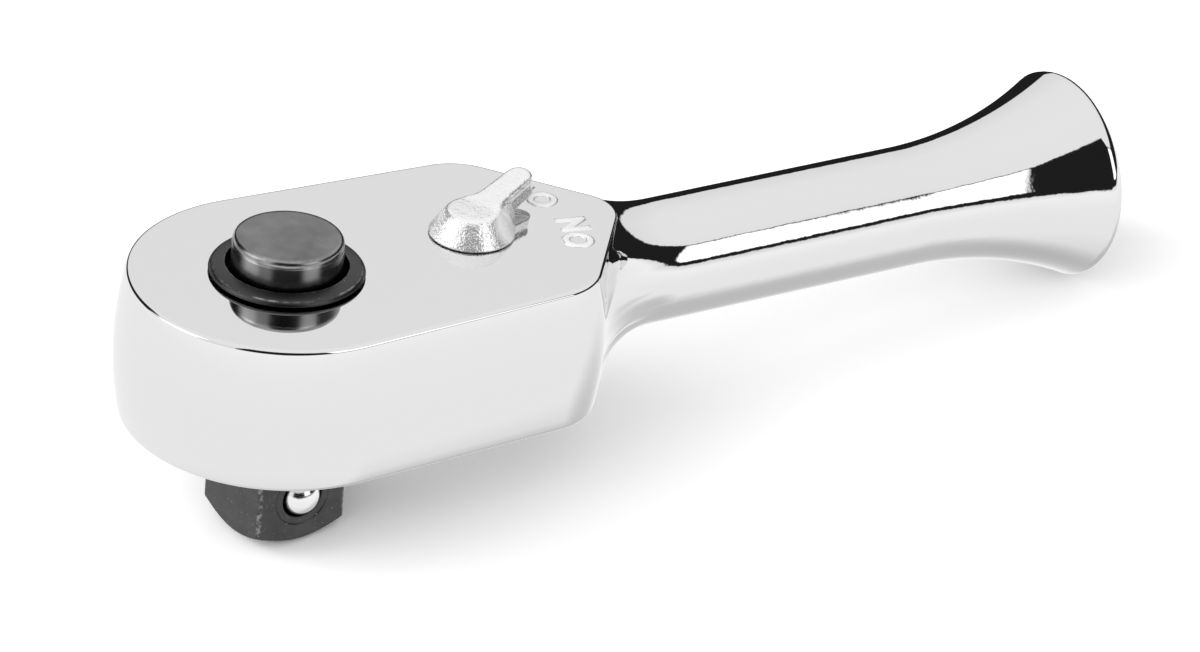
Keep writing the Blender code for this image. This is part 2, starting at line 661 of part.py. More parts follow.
def make_drive(axis):
    """Square, shoulder, toothed gear and hub in one piece, bored for the quick release."""
    drive = hang(extruded("drive_gear", gear_outline(), GEAR_BOTTOM, GEAR_TOP, BLACK_OXIDE), axis)
    square_top = SQUARE_LENGTH + FORM_LAP
    square = hang(extruded("square_form", square_outline(), 0, square_top), axis)
    widest = SQUARE_SIDE
    rise = (widest - SQUARE_END_RADIUS) * math.tan(SQUARE_END_SLOPE)
    blank_top = square_top + CUT_OVER
    blank = [(0, blank_top), (widest, blank_top), (widest, rise), (SQUARE_END_RADIUS, 0), (0, 0)]
    boolean(square, hang(turned("square_end_form", blank), axis), "INTERSECT")
    shoulder = hang(disc("shoulder_form", JOURNAL_RADIUS, SQUARE_LENGTH, GEAR_BOTTOM + FORM_LAP), axis)
    hub = hang(disc("hub_form", HUB_RADIUS, GEAR_TOP - FORM_LAP, HUB_TOP), axis)
    join(drive, shoulder, hub, square)
    mouth_top = HUB_TOP + CUT_OVER
    steps = [(0, mouth_top), (BUTTON_BORE_RADIUS, mouth_top), (BUTTON_BORE_RADIUS, BUTTON_BORE_FLOOR)]
    steps += [(SPRING_BORE_RADIUS, BUTTON_BORE_FLOOR), (SPRING_BORE_RADIUS, SPRING_FLOOR)]
    steps += [(STEM_BORE_RADIUS, SPRING_FLOOR), (STEM_BORE_RADIUS, STEM_FOOT_WALL), (0, STEM_FOOT_WALL)]
    cut(drive, hang(turned("release_bore", steps), axis))
    face = SQUARE_SIDE / 2
    bore = BALL_RADIUS + BALL_GAP
    outside = face + CUT_OVER
    mouth = BALL_SINK_RADIUS + CUT_OVER * (BALL_SINK_RADIUS - BALL_LIP_RADIUS) / BALL_LIP_DEPTH
    tunnel = [(0, outside), (mouth, outside), (BALL_LIP_RADIUS, face - BALL_LIP_DEPTH)]
    tunnel += [(bore, face - 2 * BALL_LIP_DEPTH), (bore, 0), (0, 0)]
    ball_bore = hang(turned("ball_bore", tunnel, steps=SMALL_STEPS), axis)
    ball_bore.location.z = BALL_HEIGHT * MM
    ball_bore.rotation_euler.x = math.pi / 2
    cut(drive, ball_bore)


def make_release(axis):
    """Collar, button, stem, spring and ball, all round the drive axis."""
    skirt = COLLAR_BORE_RADIUS + COLLAR_SKIRT_THICKNESS
    base = COLLAR_BOTTOM
    outer = [(COLLAR_BORE_RADIUS, HEAD_TOP + COLLAR_INNER_HEIGHT)]
    outer += [(COLLAR_SHOULDER_RADIUS, HEAD_TOP + COLLAR_OUTER_HEIGHT)]
    outer += [(COLLAR_RADIUS, base + COLLAR_RIM_HEIGHT), (COLLAR_RADIUS, base), (skirt, base)]
    outer += [(skirt, COLLAR_SKIRT_BOTTOM), (COLLAR_BORE_RADIUS, COLLAR_SKIRT_BOTTOM)]
    hang(turned("button_collar", outer, BLACK_OXIDE, ring=True), axis)

    edge = BUTTON_EDGE_ROUND
    cap = [(0, BUTTON_TOP)]
    cap += [(r, z) for r, z, _, _ in arc(BUTTON_RADIUS - edge, BUTTON_TOP - edge, edge, math.pi / 2, 0, 3)]
    cap += [(BUTTON_RADIUS, FLANGE_TOP), (BUTTON_FLANGE_RADIUS, FLANGE_TOP)]
    cap += [(BUTTON_FLANGE_RADIUS, FLANGE_BOTTOM)]
    socket_top = FLANGE_BOTTOM + STEM_SOCKET_DEPTH
    cap += [(STEM_BORE_RADIUS, FLANGE_BOTTOM), (STEM_BORE_RADIUS, socket_top), (0, socket_top)]
    hang(turned("release_button", cap, GUNMETAL), axis)

    waist = BALL_HEIGHT + BUTTON_TRAVEL
    foot = BALL_HEIGHT - STEM_TIP_BELOW_BALL
    stem = [(0, STEM_TOP), (STEM_RADIUS, STEM_TOP), (STEM_RADIUS, waist + BALL_RADIUS)]
    stem += [(STEM_WAIST_RADIUS, waist + BALL_RADIUS / 4), (STEM_WAIST_RADIUS, waist)]
    stem += [(STEM_RADIUS, BALL_HEIGHT), (STEM_RADIUS, foot), (0, foot)]
    hang(turned("release_stem", stem, BRIGHT_STEEL, SMALL_STEPS), axis)

    low = SPRING_FLOOR + SEAT_GAP
    top = FLANGE_BOTTOM - SEAT_GAP
    wire = SPRING_WIRE_RADIUS
    hang(coil("release_spring", SPRING_COIL_RADIUS, wire, low, top, SPRING_TURNS, BRIGHT_STEEL), axis)

    bm = bmesh.new()
    bmesh.ops.create_uvsphere(bm, u_segments=20, v_segments=10, radius=BALL_RADIUS)
    ball = hang(object_of("detent_ball", bm, BRIGHT_STEEL), axis)
    ball.location = (0, -BALL_REACH * MM, BALL_HEIGHT * MM)


def lever_arm_outline():
    """Plan of the lever's arm from its root in the dome to its round tip."""
    tip = LEVER_ARM_WIDTH / 2
    outline = [(x, y) for x, y, _, _ in arc(LEVER_ARM_REACH - tip, 0, tip, -math.pi / 2, math.pi / 2, 8)]
    root = LEVER_ARM_ROOT_WIDTH / 2
    return outline + [(LEVER_DOME_TOP_RADIUS, root), (0, root), (0, -root), (LEVER_DOME_TOP_RADIUS, -root)]


def make_lever(axis):
    rim = HEAD_TOP + SLIP_GAP
    top = HEAD_TOP + LEVER_DOME_HEIGHT
    waist = LEVER_SHAFT_RADIUS - LEVER_GROOVE_DEPTH
    seal_height = HEAD_TOP - LEVER_SEAL_DROP
    seal_low, seal_high = groove(seal_height)
    clip_low, clip_high = CLIP_BOTTOM - BALL_GAP, CLIP_TOP + BALL_GAP
    edge = LEVER_DOME_EDGE_ROUND
    profile = [(0, top)]
    edge_arc = arc(LEVER_DOME_TOP_RADIUS - edge, top - edge, edge, math.pi / 2, math.pi / 6, 2)
    profile += [(r, z) for r, z, _, _ in edge_arc]
    profile += [(LEVER_DOME_RADIUS, rim + LEVER_RIM_HEIGHT), (LEVER_DOME_RADIUS, rim)]
    profile += [(LEVER_SHAFT_RADIUS, rim)]
    for low, high in ((seal_low, seal_high), (clip_low, clip_high)):
        profile += [(LEVER_SHAFT_RADIUS, high), (waist, high), (waist, low), (LEVER_SHAFT_RADIUS, low)]
    profile += [(LEVER_SHAFT_RADIUS, SHAFT_BOTTOM), (0, SHAFT_BOTTOM)]
    lever = hang(turned("reversing_lever", profile, CAST_ZINC), axis)

    arm = hang(extruded("lever_arm_form", lever_arm_outline(), 0, LEVER_ARM_THICKNESS), axis)
    arm.location.z = (HEAD_TOP + LEVER_ARM_PROUD - LEVER_ARM_THICKNESS / 2) * MM
    arm.rotation_euler.y = -LEVER_ARM_PITCH
    join(lever, arm)
    hole_radius = DETENT_BALL_RADIUS + BALL_GAP
    hole_end = DETENT_BALL_REACH + DETENT_BALL_RADIUS
    hole_floor = hole_end - DETENT_HOLE_DEPTH
    hole = hang(disc("detent_hole", hole_radius, hole_floor, hole_end, steps=SCREW_STEPS), axis)
    hole.location.z = PAWL_MID * MM
    hole.rotation_euler.y = math.pi / 2
    cut(lever, hole)

    bm = bmesh.new()
    bmesh.ops.create_uvsphere(bm, u_segments=16, v_segments=8, radius=DETENT_BALL_RADIUS)
    ball = hang(object_of("lever_detent_ball", bm, BRIGHT_STEEL), axis)
    ball.location = (DETENT_BALL_REACH * MM, 0, PAWL_MID * MM)
    spring_end = DETENT_BALL_REACH - DETENT_BALL_RADIUS - BALL_GAP
    spring_start = hole_floor + BALL_GAP
    ends = (spring_start, spring_end)
    wire = DETENT_WIRE_RADIUS
    spring = coil("lever_detent_spring", DETENT_COIL_RADIUS, wire, *ends, DETENT_TURNS, BRIGHT_STEEL, 8)
    hang(spring, axis)
    spring.location.z = PAWL_MID * MM
    spring.rotation_euler.y = math.pi / 2

    seal_ring = (waist + SHAFT_BORE_RADIUS) / 2
    hang(seal("lever_seal", seal_ring, LEVER_SEAL_RADIUS, seal_height), axis)
    hang(make_clip(waist + BALL_GAP), axis)


def make_clip(inner):
    """Open retaining ring in the shaft's lower groove."""
    start, end = CLIP_GAP_ANGLE / 2, 2 * math.pi - CLIP_GAP_ANGLE / 2
    outline = [(x, y) for x, y, _, _ in arc(0, 0, CLIP_RADIUS, start, end, 24)]
    outline += [(x, y) for x, y, _, _ in arc(0, 0, inner, end, start, 24)]
    return extruded("lever_clip", outline, CLIP_BOTTOM, CLIP_TOP, BRIGHT_STEEL)


def turned_about_lever(points, turn):
    c, s = math.cos(turn), math.sin(turn)
    return [(c * (x - LEVER_X) - s * y, s * (x - LEVER_X) + c * y) for x, y in points]


def polar(radius, turn):
    return (radius * math.cos(turn), radius * math.sin(turn))


def pawl_outline():
    """Pawl in its middle position, seen from its own axis: a toothed end on either side of a boss."""
    flank = (TOOTH_PITCH * GEAR_TIP_RADIUS / 2 - GEAR_LAND) / GEAR_TOOTH_DEPTH
    slack = PAWL_TOOTH_GAP * math.hypot(1, flank)
    base = GEAR_TIP_RADIUS + SEAT_GAP
    tip = GEAR_ROOT_RADIUS + SEAT_GAP
    base_half = (GEAR_LAND / 2 + flank * (base - GEAR_ROOT_RADIUS) - slack) / base
    tip_half = max(GEAR_LAND / 2 + flank * SEAT_GAP - slack, 0.05) / tip
    engaged = []
    for i in range(PAWL_TEETH):
        middle = (PAWL_FIRST_TOOTH + i + 0.5) * TOOTH_PITCH
        engaged += [polar(base, middle - base_half), polar(tip, middle - tip_half)]
        engaged += [polar(tip, middle + tip_half), polar(base, middle + base_half)]
    engaged += [polar(base, PAWL_TIP_ANGLE), polar((base + PAWL_BACK_RADIUS) / 2, PAWL_TIP_ANGLE * 1.03)]
    engaged += [polar(PAWL_BACK_RADIUS, PAWL_TIP_ANGLE)]
    relief_end = (PAWL_FIRST_TOOTH - 0.4) * TOOTH_PITCH
    relief = [polar(PAWL_RELIEF_RADIUS, relief_end * i / 5) for i in range(6)]
    half = turned_about_lever(relief, 0) + turned_about_lever(engaged, -PAWL_SWING)
    half += [(x, y) for x, y, _, _ in arc(0, 0, PAWL_BOSS_RADIUS, PAWL_BOSS_ANGLE, 0, 10)]
    return half + [(x, -y) for x, y in reversed(half[1:-1])]


def detent_track():
    """Pocket in the pawl's bore for the lever's ball: two notches with a ridge between them."""
    deepest = DETENT_BALL_REACH + DETENT_BALL_RADIUS + BALL_GAP + DETENT_RIDGE
    track = []
    for i in range(SMALL_STEPS + 1):
        turn = DETENT_TRACK_ANGLE * (2 * i / SMALL_STEPS - 1)
        ridge = DETENT_RIDGE * 0.5 * (1 + math.cos(math.pi * min(abs(turn) / DETENT_NOTCH_ANGLE, 1)))
        track.append(((deepest - ridge) * math.cos(turn), (deepest - ridge) * math.sin(turn)))
    return track + [(0, 0)]


def make_pawl(axis):
    pawl = hang(extruded("pawl", pawl_outline(), PAWL_BOTTOM, PAWL_TOP, BRIGHT_STEEL), axis)
    low, high = PAWL_BOTTOM - CUT_OVER, PAWL_TOP + CUT_OVER
    bore = disc("pawl_bore", SHAFT_BORE_RADIUS, low, high, steps=SMALL_STEPS)
    half = DETENT_BALL_RADIUS + SLIP_GAP
    track = extruded("pawl_detent_track", detent_track(), PAWL_MID - half, PAWL_MID + half)
    cut(pawl, hang(bore, axis), hang(track, axis))


def make_ratchet():
    make_body()
    make_cover()
    make_screws()
    seal("hub_seal", hub_seal_ring(), SEAL_RADIUS - BALL_GAP, hub_seal_height())
    shim_inner = JOURNAL_RADIUS + SLIP_GAP
    shim_outer = shim_inner + SHIM_WIDTH
    shim_top = SHIM_BOTTOM + SHIM_THICKNESS
    washer("gear_shim", shim_inner, shim_outer, SHIM_BOTTOM, shim_top, BRIGHT_STEEL)
    drive_axis = empty_at("drive_axis", (0, 0, 0), DRIVE_ANGLE)
    make_drive(drive_axis)
    make_release(drive_axis)
    make_lever(empty_at("lever_axis", (LEVER_X, 0, 0), LEVER_ANGLE))
    make_pawl(empty_at("pawl_axis", (LEVER_X, 0, 0), PAWL_SWING))


make_ratchet()
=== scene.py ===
import math

import bmesh
import bpy
from mathutils import Matrix, Vector


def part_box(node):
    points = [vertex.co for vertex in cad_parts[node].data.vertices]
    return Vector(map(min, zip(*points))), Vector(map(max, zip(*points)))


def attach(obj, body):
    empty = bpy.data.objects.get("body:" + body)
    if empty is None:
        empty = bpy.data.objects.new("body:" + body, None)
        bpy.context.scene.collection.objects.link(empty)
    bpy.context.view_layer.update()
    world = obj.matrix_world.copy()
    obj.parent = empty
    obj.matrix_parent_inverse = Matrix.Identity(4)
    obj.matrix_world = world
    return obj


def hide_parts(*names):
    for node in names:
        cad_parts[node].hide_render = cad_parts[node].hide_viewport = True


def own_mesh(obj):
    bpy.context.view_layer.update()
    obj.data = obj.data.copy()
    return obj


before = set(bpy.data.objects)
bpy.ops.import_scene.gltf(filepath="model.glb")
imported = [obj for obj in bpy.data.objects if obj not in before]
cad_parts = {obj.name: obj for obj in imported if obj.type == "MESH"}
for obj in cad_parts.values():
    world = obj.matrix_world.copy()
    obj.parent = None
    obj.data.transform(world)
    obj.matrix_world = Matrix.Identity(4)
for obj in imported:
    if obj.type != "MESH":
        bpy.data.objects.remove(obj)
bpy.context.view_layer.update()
mm = 0.001  # meshes are drawn in millimetres and scaled at the end
weld = 1e-4  # points closer than this, in millimetres, are one
scene = bpy.context.scene
scene.view_settings.view_transform = "Standard"
print("frame loaded:", len(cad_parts), "nodes")

# camera, fitted to the photograph's outlines
cameraSetup = {
    "place": (-201.205, -361.126, 256.017),
    "right": (0.85866, -0.50622, 0.08029),
    "up": (0.19019, 0.46015, 0.86724),
    "lens": 155.61,
    "sensor": 36.0,
    "nearest": 10.0,
}


def placeCamera(setup):
    data = bpy.data.cameras.new("photoCamera")
    data.sensor_fit = "HORIZONTAL"
    data.sensor_width = setup["sensor"]
    data.lens = setup["lens"]
    data.clip_start = setup["nearest"] * mm
    eye = bpy.data.objects.new("photoCamera", data)
    scene.collection.objects.link(eye)
    right = Vector(setup["right"]).normalized()
    back = right.cross(Vector(setup["up"])).normalized()
    turn = Matrix((right, back.cross(right), back)).transposed().to_4x4()
    eye.matrix_world = Matrix.Translation(Vector(setup["place"]) * mm) @ turn
    scene.camera = eye
    print("camera placed")


placeCamera(cameraSetup)


def hexToLinear(code):
    parts = [int(code[i:i + 2], 16) / 255 for i in (1, 3, 5)]
    return tuple(p / 12.92 if p <= 0.04045 else ((p + 0.055) / 1.055) ** 2.4 for p in parts) + (1.0,)


def addNode(tree, kind, settings):
    # a socket as a value becomes a link, anything else is set
    node = tree.nodes.new(kind)
    for name, value in settings.items():
        if isinstance(value, bpy.types.NodeSocket):
            tree.links.new(value, node.inputs[name])
        elif isinstance(name, str) and hasattr(node, name):
            setattr(node, name, value)
        else:
            node.inputs[name].default_value = value
    return node


def newMaterial(name, settings):
    material = bpy.data.materials.new(name)
    material.use_nodes = True
    shader = material.node_tree.nodes["Principled BSDF"]
    for socket, value in settings.items():
        shader.inputs[socket].default_value = value
    coords = addNode(material.node_tree, "ShaderNodeTexCoord", {}).outputs["Object"]
    return material, material.node_tree, shader, coords


def inMetres(values):
    return [value * mm for value in values]


def softMask(tree, ramps):
    # product of soft ramps, each as (value, (where it starts, where it is full))
    mask = 1.0
    for value, (low, high) in ramps:
        ramp = addNode(tree, "ShaderNodeMapRange", {"Value": value, "From Min": low, "From Max": high})
        mask = addNode(
            tree, "ShaderNodeMath", {"operation": "MULTIPLY", 0: ramp.outputs["Result"], 1: mask}
        ).outputs[0]
    return mask


def fromDriveAxis(tree, coords):
    # distance from the drive's axis, and height
    place = addNode(tree, "ShaderNodeSeparateXYZ", {"Vector": coords}).outputs
    level = addNode(tree, "ShaderNodeCombineXYZ", {"X": place["X"], "Y": place["Y"]})
    reach = addNode(tree, "ShaderNodeVectorMath", {"operation": "LENGTH", 0: level.outputs[0]})
    return reach.outputs["Value"], place["Z"]


# light tent round the tool, with a dark gap, a window softbox in the gap and a key softbox behind;
# curves are (degrees, degrees or light), lamps are (strength, degrees across, where from)
studio = {
    "shade": [
        (-90, 0.75), (-60, 0.92), (-45, 0.985), (-30, 0.985), (-15, 1.0), (0, 1.08),
        (8, 0.82), (20, 0.86), (30, 0.895), (45, 0.95), (90, 0.97),
    ],
    "gapTop": [
        (-180, -90), (-152, -90), (-150, 56), (-117, 56), (-100, 53), (-88, 48.5), (-70, 45), (-56, 41),
        (-49, 38), (-35, 36.5), (-20, 33.5), (-7, 31), (5, 28), (14, 25), (28, 19), (40, 15.5),
        (50, 13.5), (80, 12.5), (90, 30), (105, 44), (125, 42), (136, 34), (137, -90), (180, -90),
    ],
    "gapBottom": [
        (-180, 5), (-150, 5), (-117, 1), (-105, 3), (-90, 6), (-75, 7), (-60, 8), (-28, 7), (0, 2),
        (21, -2), (35, -8), (50, -22), (63, -20), (75, -15), (85, 0), (105, 8), (137, 12), (180, 12),
    ],
    "gapLight": 0.015,
    "window": (-84.5, -50.0), "windowFloor": 13.5, "windowGap": 1.3, "windowLight": 1.6,
    "keyBox": (146.0, 184.0), "keyBoxHeight": (14.0, 46.0), "keyBoxLight": 2.2,
    "edge": 0.7,
    "dipAim": (2, -57), "dipReach": (0.79, 0.98), "dipLight": 0.66,
    "fillLight": 0.52,
    "lamps": [(0.75, 30, (150, 25)), (0.95, 60, (180, 35)), (0.9, 55, (-116, 33))],
}


def turnShare(degrees):
    return degrees / 360 + 0.5


def heightShare(degrees):
    return degrees / 180 + 0.5


def aimAt(degreesRound, degreesUp):
    around, up = math.radians(degreesRound), math.radians(degreesUp)
    return Vector((math.cos(up) * math.cos(around), math.cos(up) * math.sin(around), math.sin(up)))


def lightStudio(setup):
    world = bpy.data.worlds.new("lightTent")
    scene.world = world
    world.use_nodes = True
    tree = world.node_tree
    tree.nodes.clear()

    # every direction as height and turn, both from 0 to 1
    way = addNode(tree, "ShaderNodeTexCoord", {}).outputs["Generated"]
    parts = addNode(tree, "ShaderNodeSeparateXYZ", {"Vector": way}).outputs
    rise = addNode(tree, "ShaderNodeMath", {"operation": "ARCSINE", 0: parts["Z"]}).outputs[0]
    height = addNode(
        tree, "ShaderNodeMath", {"operation": "MULTIPLY_ADD", 0: rise, 1: 1 / math.pi, 2: 0.5}
    ).outputs[0]
    swing = addNode(tree, "ShaderNodeMath", {"operation": "ARCTAN2", 0: parts["Y"], 1: parts["X"]}).outputs[0]
    around = addNode(
        tree, "ShaderNodeMath", {"operation": "MULTIPLY_ADD", 0: swing, 1: 0.5 / math.pi, 2: 0.5}
    ).outputs[0]

    # the three curves as ramps: light against height, and the gap's two borders against turn
    curves = {"shade": (height, [(heightShare(up), value) for up, value in setup["shade"]])}
    for name in ("gapTop", "gapBottom"):
        curves[name] = (around, [(turnShare(turn), heightShare(up)) for turn, up in setup[name]])
    curve = {}
    for name, (source, points) in curves.items():
        ramp = addNode(tree, "ShaderNodeValToRGB", {"Fac": source})
        stops = ramp.color_ramp.elements
        while len(stops) < len(points):
            stops.new(0.5)
        for stop, (place, value) in zip(stops, points):
            stop.position = place
            stop.color = (value, value, value, 1)
        curve[name] = ramp.outputs["Color"]

    # the tool's own shade on the table, as the handle's underside mirrors it
    toward = addNode(
        tree, "ShaderNodeVectorMath", {"operation": "DOT_PRODUCT", 0: way, 1: aimAt(*setup["dipAim"])}
    ).outputs["Value"]
    low, high = setup["dipReach"]
    dip = addNode(
        tree, "ShaderNodeMapRange",
        {"interpolation_type": "SMOOTHSTEP", "Value": toward, "From Min": low, "From Max": high,
         "To Min": 1.0, "To Max": setup["dipLight"]},
    ).outputs["Result"]
    light = addNode(tree, "ShaderNodeMath", {"operation": "MULTIPLY", 0: curve["shade"], 1: dip}).outputs[0]

    # each region is a product of soft edges, written as (what has to be more, what it has to exceed)
    left, right = (turnShare(turn) for turn in setup["window"])
    keyLeft, keyRight = (turnShare(turn) for turn in setup["keyBox"])
    keyLow, keyHigh = (heightShare(up) for up in setup["keyBoxHeight"])
    windowLow = heightShare(setup["windowFloor"])
    windowTop = addNode(
        tree, "ShaderNodeMath", {"operation": "SUBTRACT", 0: curve["gapTop"], 1: setup["windowGap"] / 180}
    ).outputs[0]
    regions = {
        "gap": [(height, curve["gapBottom"]), (curve["gapTop"], height)],
        "window": [(around, left), (right, around), (height, windowLow), (windowTop, height)],
        "keyBox": [(around, keyLeft), (keyRight, around), (height, keyLow), (keyHigh, height)],
    }
    edge = setup["edge"] / 180
    for name, borders in regions.items():
        ramps = []
        for more, less in borders:
            past = addNode(tree, "ShaderNodeMath", {"operation": "SUBTRACT", 0: more, 1: less})
            ramps.append((past.outputs[0], (-edge, edge)))
        light = addNode(
            tree, "ShaderNodeMix",
            {"data_type": "FLOAT", "Factor": softMask(tree, ramps), "A": light, "B": setup[name + "Light"]},
        ).outputs[0]

    # the camera sees plain white, metal sees the tent, and what the table scatters gets an even fill
    path = addNode(tree, "ShaderNodeLightPath", {}).outputs
    mirrors = addNode(
        tree, "ShaderNodeMath",
        {"operation": "MAXIMUM", 0: path["Is Glossy Ray"], 1: path["Is Transmission Ray"]},
    ).outputs[0]
    direct = addNode(
        tree, "ShaderNodeMath", {"operation": "LESS_THAN", 0: path["Diffuse Depth"], 1: 0.5}
    ).outputs[0]
    mirrors = addNode(tree, "ShaderNodeMath", {"operation": "MULTIPLY", 0: mirrors, 1: direct}).outputs[0]
    seen = addNode(
        tree, "ShaderNodeMix", {"data_type": "FLOAT", "Factor": mirrors, "A": setup["fillLight"], "B": light}
    ).outputs[0]
    seen = addNode(
        tree, "ShaderNodeMix", {"data_type": "FLOAT", "Factor": path["Is Camera Ray"], "A": seen, "B": 1.0}
    ).outputs[0]
    glow = addNode(tree, "ShaderNodeBackground", {"Color": (1, 1, 1, 1), "Strength": seen})
    addNode(tree, "ShaderNodeOutputWorld", {"Surface": glow.outputs[0]})

    # wide soft lamps for what is matt; the metal doesn't mirror them
    for strength, across, aim in setup["lamps"]:
        sun = bpy.data.lights.new("softLamp", "SUN")
        sun.energy = strength
        sun.angle = math.radians(across)
        lamp = bpy.data.objects.new("softLamp", sun)
        lamp.rotation_euler = aimAt(*aim).to_track_quat("Z", "Y").to_euler()
        lamp.visible_glossy = False
        scene.collection.objects.link(lamp)
    print("studio lit")


lightStudio(studio)


def turnForm(bm, degrees, axis):
    bmesh.ops.rotate(
        bm, cent=(0, 0, 0), matrix=Matrix.Rotation(math.radians(degrees), 3, axis), verts=bm.verts
    )


def moveForm(bm, way):
    bmesh.ops.translate(bm, vec=way, verts=bm.verts)


# table top: the tool lies on its square and on the flared end, so the table is tilted in the tool's frame
table = {"through": (4.7, 0.0, 0.0), "tilt": 5.94, "sizeMm": 6000, "colour": "#f4f4f4", "exposed": 1.38}


def layTable(setup):
    # matt white board, exposed past white for the camera so that only the deeper shade shows
    material = bpy.data.materials.new("mattWhiteBoard")
    material.use_nodes = True
    tree = material.node_tree
    tree.nodes.clear()
    path = addNode(tree, "ShaderNodeLightPath", {}).outputs
    shown = addNode(
        tree, "ShaderNodeMix",
        {"data_type": "RGBA", 0: path["Is Camera Ray"], 6: hexToLinear(setup["colour"]),
         7: (setup["exposed"],) * 3 + (1.0,)},
    )
    paint = addNode(tree, "ShaderNodeBsdfDiffuse", {"Color": shown.outputs[2]})
    # seen from below it is clear, so that the tool's underside can be looked at
    side = addNode(tree, "ShaderNodeNewGeometry", {})
    clear = addNode(tree, "ShaderNodeBsdfTransparent", {})
    sheet = addNode(
        tree, "ShaderNodeMixShader",
        {0: side.outputs["Backfacing"], 1: paint.outputs[0], 2: clear.outputs[0]},
    )
    addNode(tree, "ShaderNodeOutputMaterial", {"Surface": sheet.outputs[0]})
    bm = bmesh.new()
    bmesh.ops.create_grid(bm, x_segments=1, y_segments=1, size=setup["sizeMm"] / 2)
    turnForm(bm, -setup["tilt"], "Y")
    moveForm(bm, setup["through"])
    bmesh.ops.scale(bm, vec=(mm, mm, mm), verts=bm.verts)
    mesh = bpy.data.meshes.new("table")
    bm.to_mesh(mesh)
    bm.free()
    mesh.materials.append(material)
    floor = bpy.data.objects.new("table", mesh)
    floor.visible_glossy = False
    scene.collection.objects.link(floor)
    print("table laid")


layTable(table)

chromeLook = {
    "colour": "#e7e7e7", "roughness": 0.03,
    "waveMm": 6.0, "rippleMm": 1.3, "rippleShare": 0.6, "heightMm": 0.018,
    "flatZ": (25.4, 25.9), "flatShare": 0.06, "headX": (25.0, 32.0), "headShare": 0.12,
}


def chromePlate(look):
    # bright chrome on a forging: the top is ground flat, the grip is buffed by hand and wavers
    material, tree, shader, coords = newMaterial(
        "buffedChromePlate",
        {"Base Color": hexToLinear(look["colour"]), "Metallic": 1.0, "Roughness": look["roughness"]},
    )
    wave = addNode(
        tree, "ShaderNodeTexNoise", {"Vector": coords, "Scale": 1 / (look["waveMm"] * mm), "Detail": 1.0}
    )
    ripple = addNode(
        tree, "ShaderNodeTexNoise", {"Vector": coords, "Scale": 1 / (look["rippleMm"] * mm), "Detail": 3.0}
    )
    skin = addNode(
        tree, "ShaderNodeMath",
        {"operation": "MULTIPLY_ADD",
         0: ripple.outputs["Fac"], 1: look["rippleShare"], 2: wave.outputs["Fac"]},
    )
    place = addNode(tree, "ShaderNodeSeparateXYZ", {"Vector": coords}).outputs
    low, high = inMetres(look["flatZ"])
    ground = addNode(
        tree, "ShaderNodeMapRange",
        {"Value": place["Z"], "From Min": low, "From Max": high, "To Min": 1.0, "To Max": look["flatShare"]},
    )
    low, high = inMetres(look["headX"])
    buffed = addNode(
        tree, "ShaderNodeMapRange",
        {"Value": place["X"], "From Min": low, "From Max": high, "To Min": look["headShare"], "To Max": 1.0},
    )
    hand = addNode(
        tree, "ShaderNodeMath",
        {"operation": "MINIMUM", 0: ground.outputs["Result"], 1: buffed.outputs["Result"]},
    )
    bump = addNode(
        tree, "ShaderNodeBump",
        {"Strength": hand.outputs[0], "Distance": look["heightMm"] * mm, "Height": skin.outputs[0]},
    )
    tree.links.new(bump.outputs["Normal"], shader.inputs["Normal"])
    return material


oxideLook = {
    "dark": "#404040", "light": "#565656", "mottleMm": 1.6, "roughness": 0.4,
    "rub": "#969696", "rubMm": 0.5, "rubStretch": 0.16, "rubFrom": (0.7, 0.8),
    "speck": "#b4b4b4", "speckMm": 0.16, "speckFrom": (0.69, 0.73),
    "chip": "#8e8e8e", "chipMm": 0.4, "chipFrom": (0.45, 0.6),
    "corner": (6.44, 6.56), "cornerZ": (11.0, 10.8),
}


def blackOxide(look):
    # hot-dipped black oxide on machined steel: dark satin grey, cloudy, with pale rub marks and specks
    material, tree, shader, coords = newMaterial(
        "blackOxideSteel", {"Metallic": 1.0, "Roughness": look["roughness"]}
    )
    cloud = addNode(
        tree, "ShaderNodeTexNoise", {"Vector": coords, "Scale": 1 / (look["mottleMm"] * mm), "Detail": 4.0}
    )
    colour = addNode(
        tree, "ShaderNodeMix",
        {"data_type": "RGBA", 0: cloud.outputs["Fac"],
         6: hexToLinear(look["dark"]), 7: hexToLinear(look["light"])},
    ).outputs[2]
    upright = addNode(tree, "ShaderNodeMapping", {"Vector": coords, "Scale": (1.0, 1.0, look["rubStretch"])})
    reach, height = fromDriveAxis(tree, coords)
    corners = [(reach, inMetres(look["corner"])), (height, inMetres(look["cornerZ"]))]

    # rub marks run upright, specks lie anywhere, and sockets have chipped the square's upright corners
    wear = {"rub": (upright.outputs[0], []), "speck": (coords, []), "chip": (coords, corners)}
    for name, (where, borders) in wear.items():
        size, start = look[name + "Mm"] * mm, look[name + "From"]
        spread = addNode(tree, "ShaderNodeTexNoise", {"Vector": where, "Scale": 1 / size, "Detail": 3.0})
        mask = softMask(tree, borders + [(spread.outputs["Fac"], start)])
        colour = addNode(
            tree, "ShaderNodeMix", {"data_type": "RGBA", 0: mask, 6: colour, 7: hexToLinear(look[name])}
        ).outputs[2]
    tree.links.new(colour, shader.inputs["Base Color"])
    return material


gunmetalLook = {
    "dark": "#545454", "light": "#949494", "smearMm": 2.6, "roughness": 0.24,
    "paleMarksAndHighlight": "#b0b0b0", "rubMm": 1.8, "rubFrom": (0.3, 0.7), "rim": (4.6, 4.9), "rimZ": (28.88, 28.98),
}


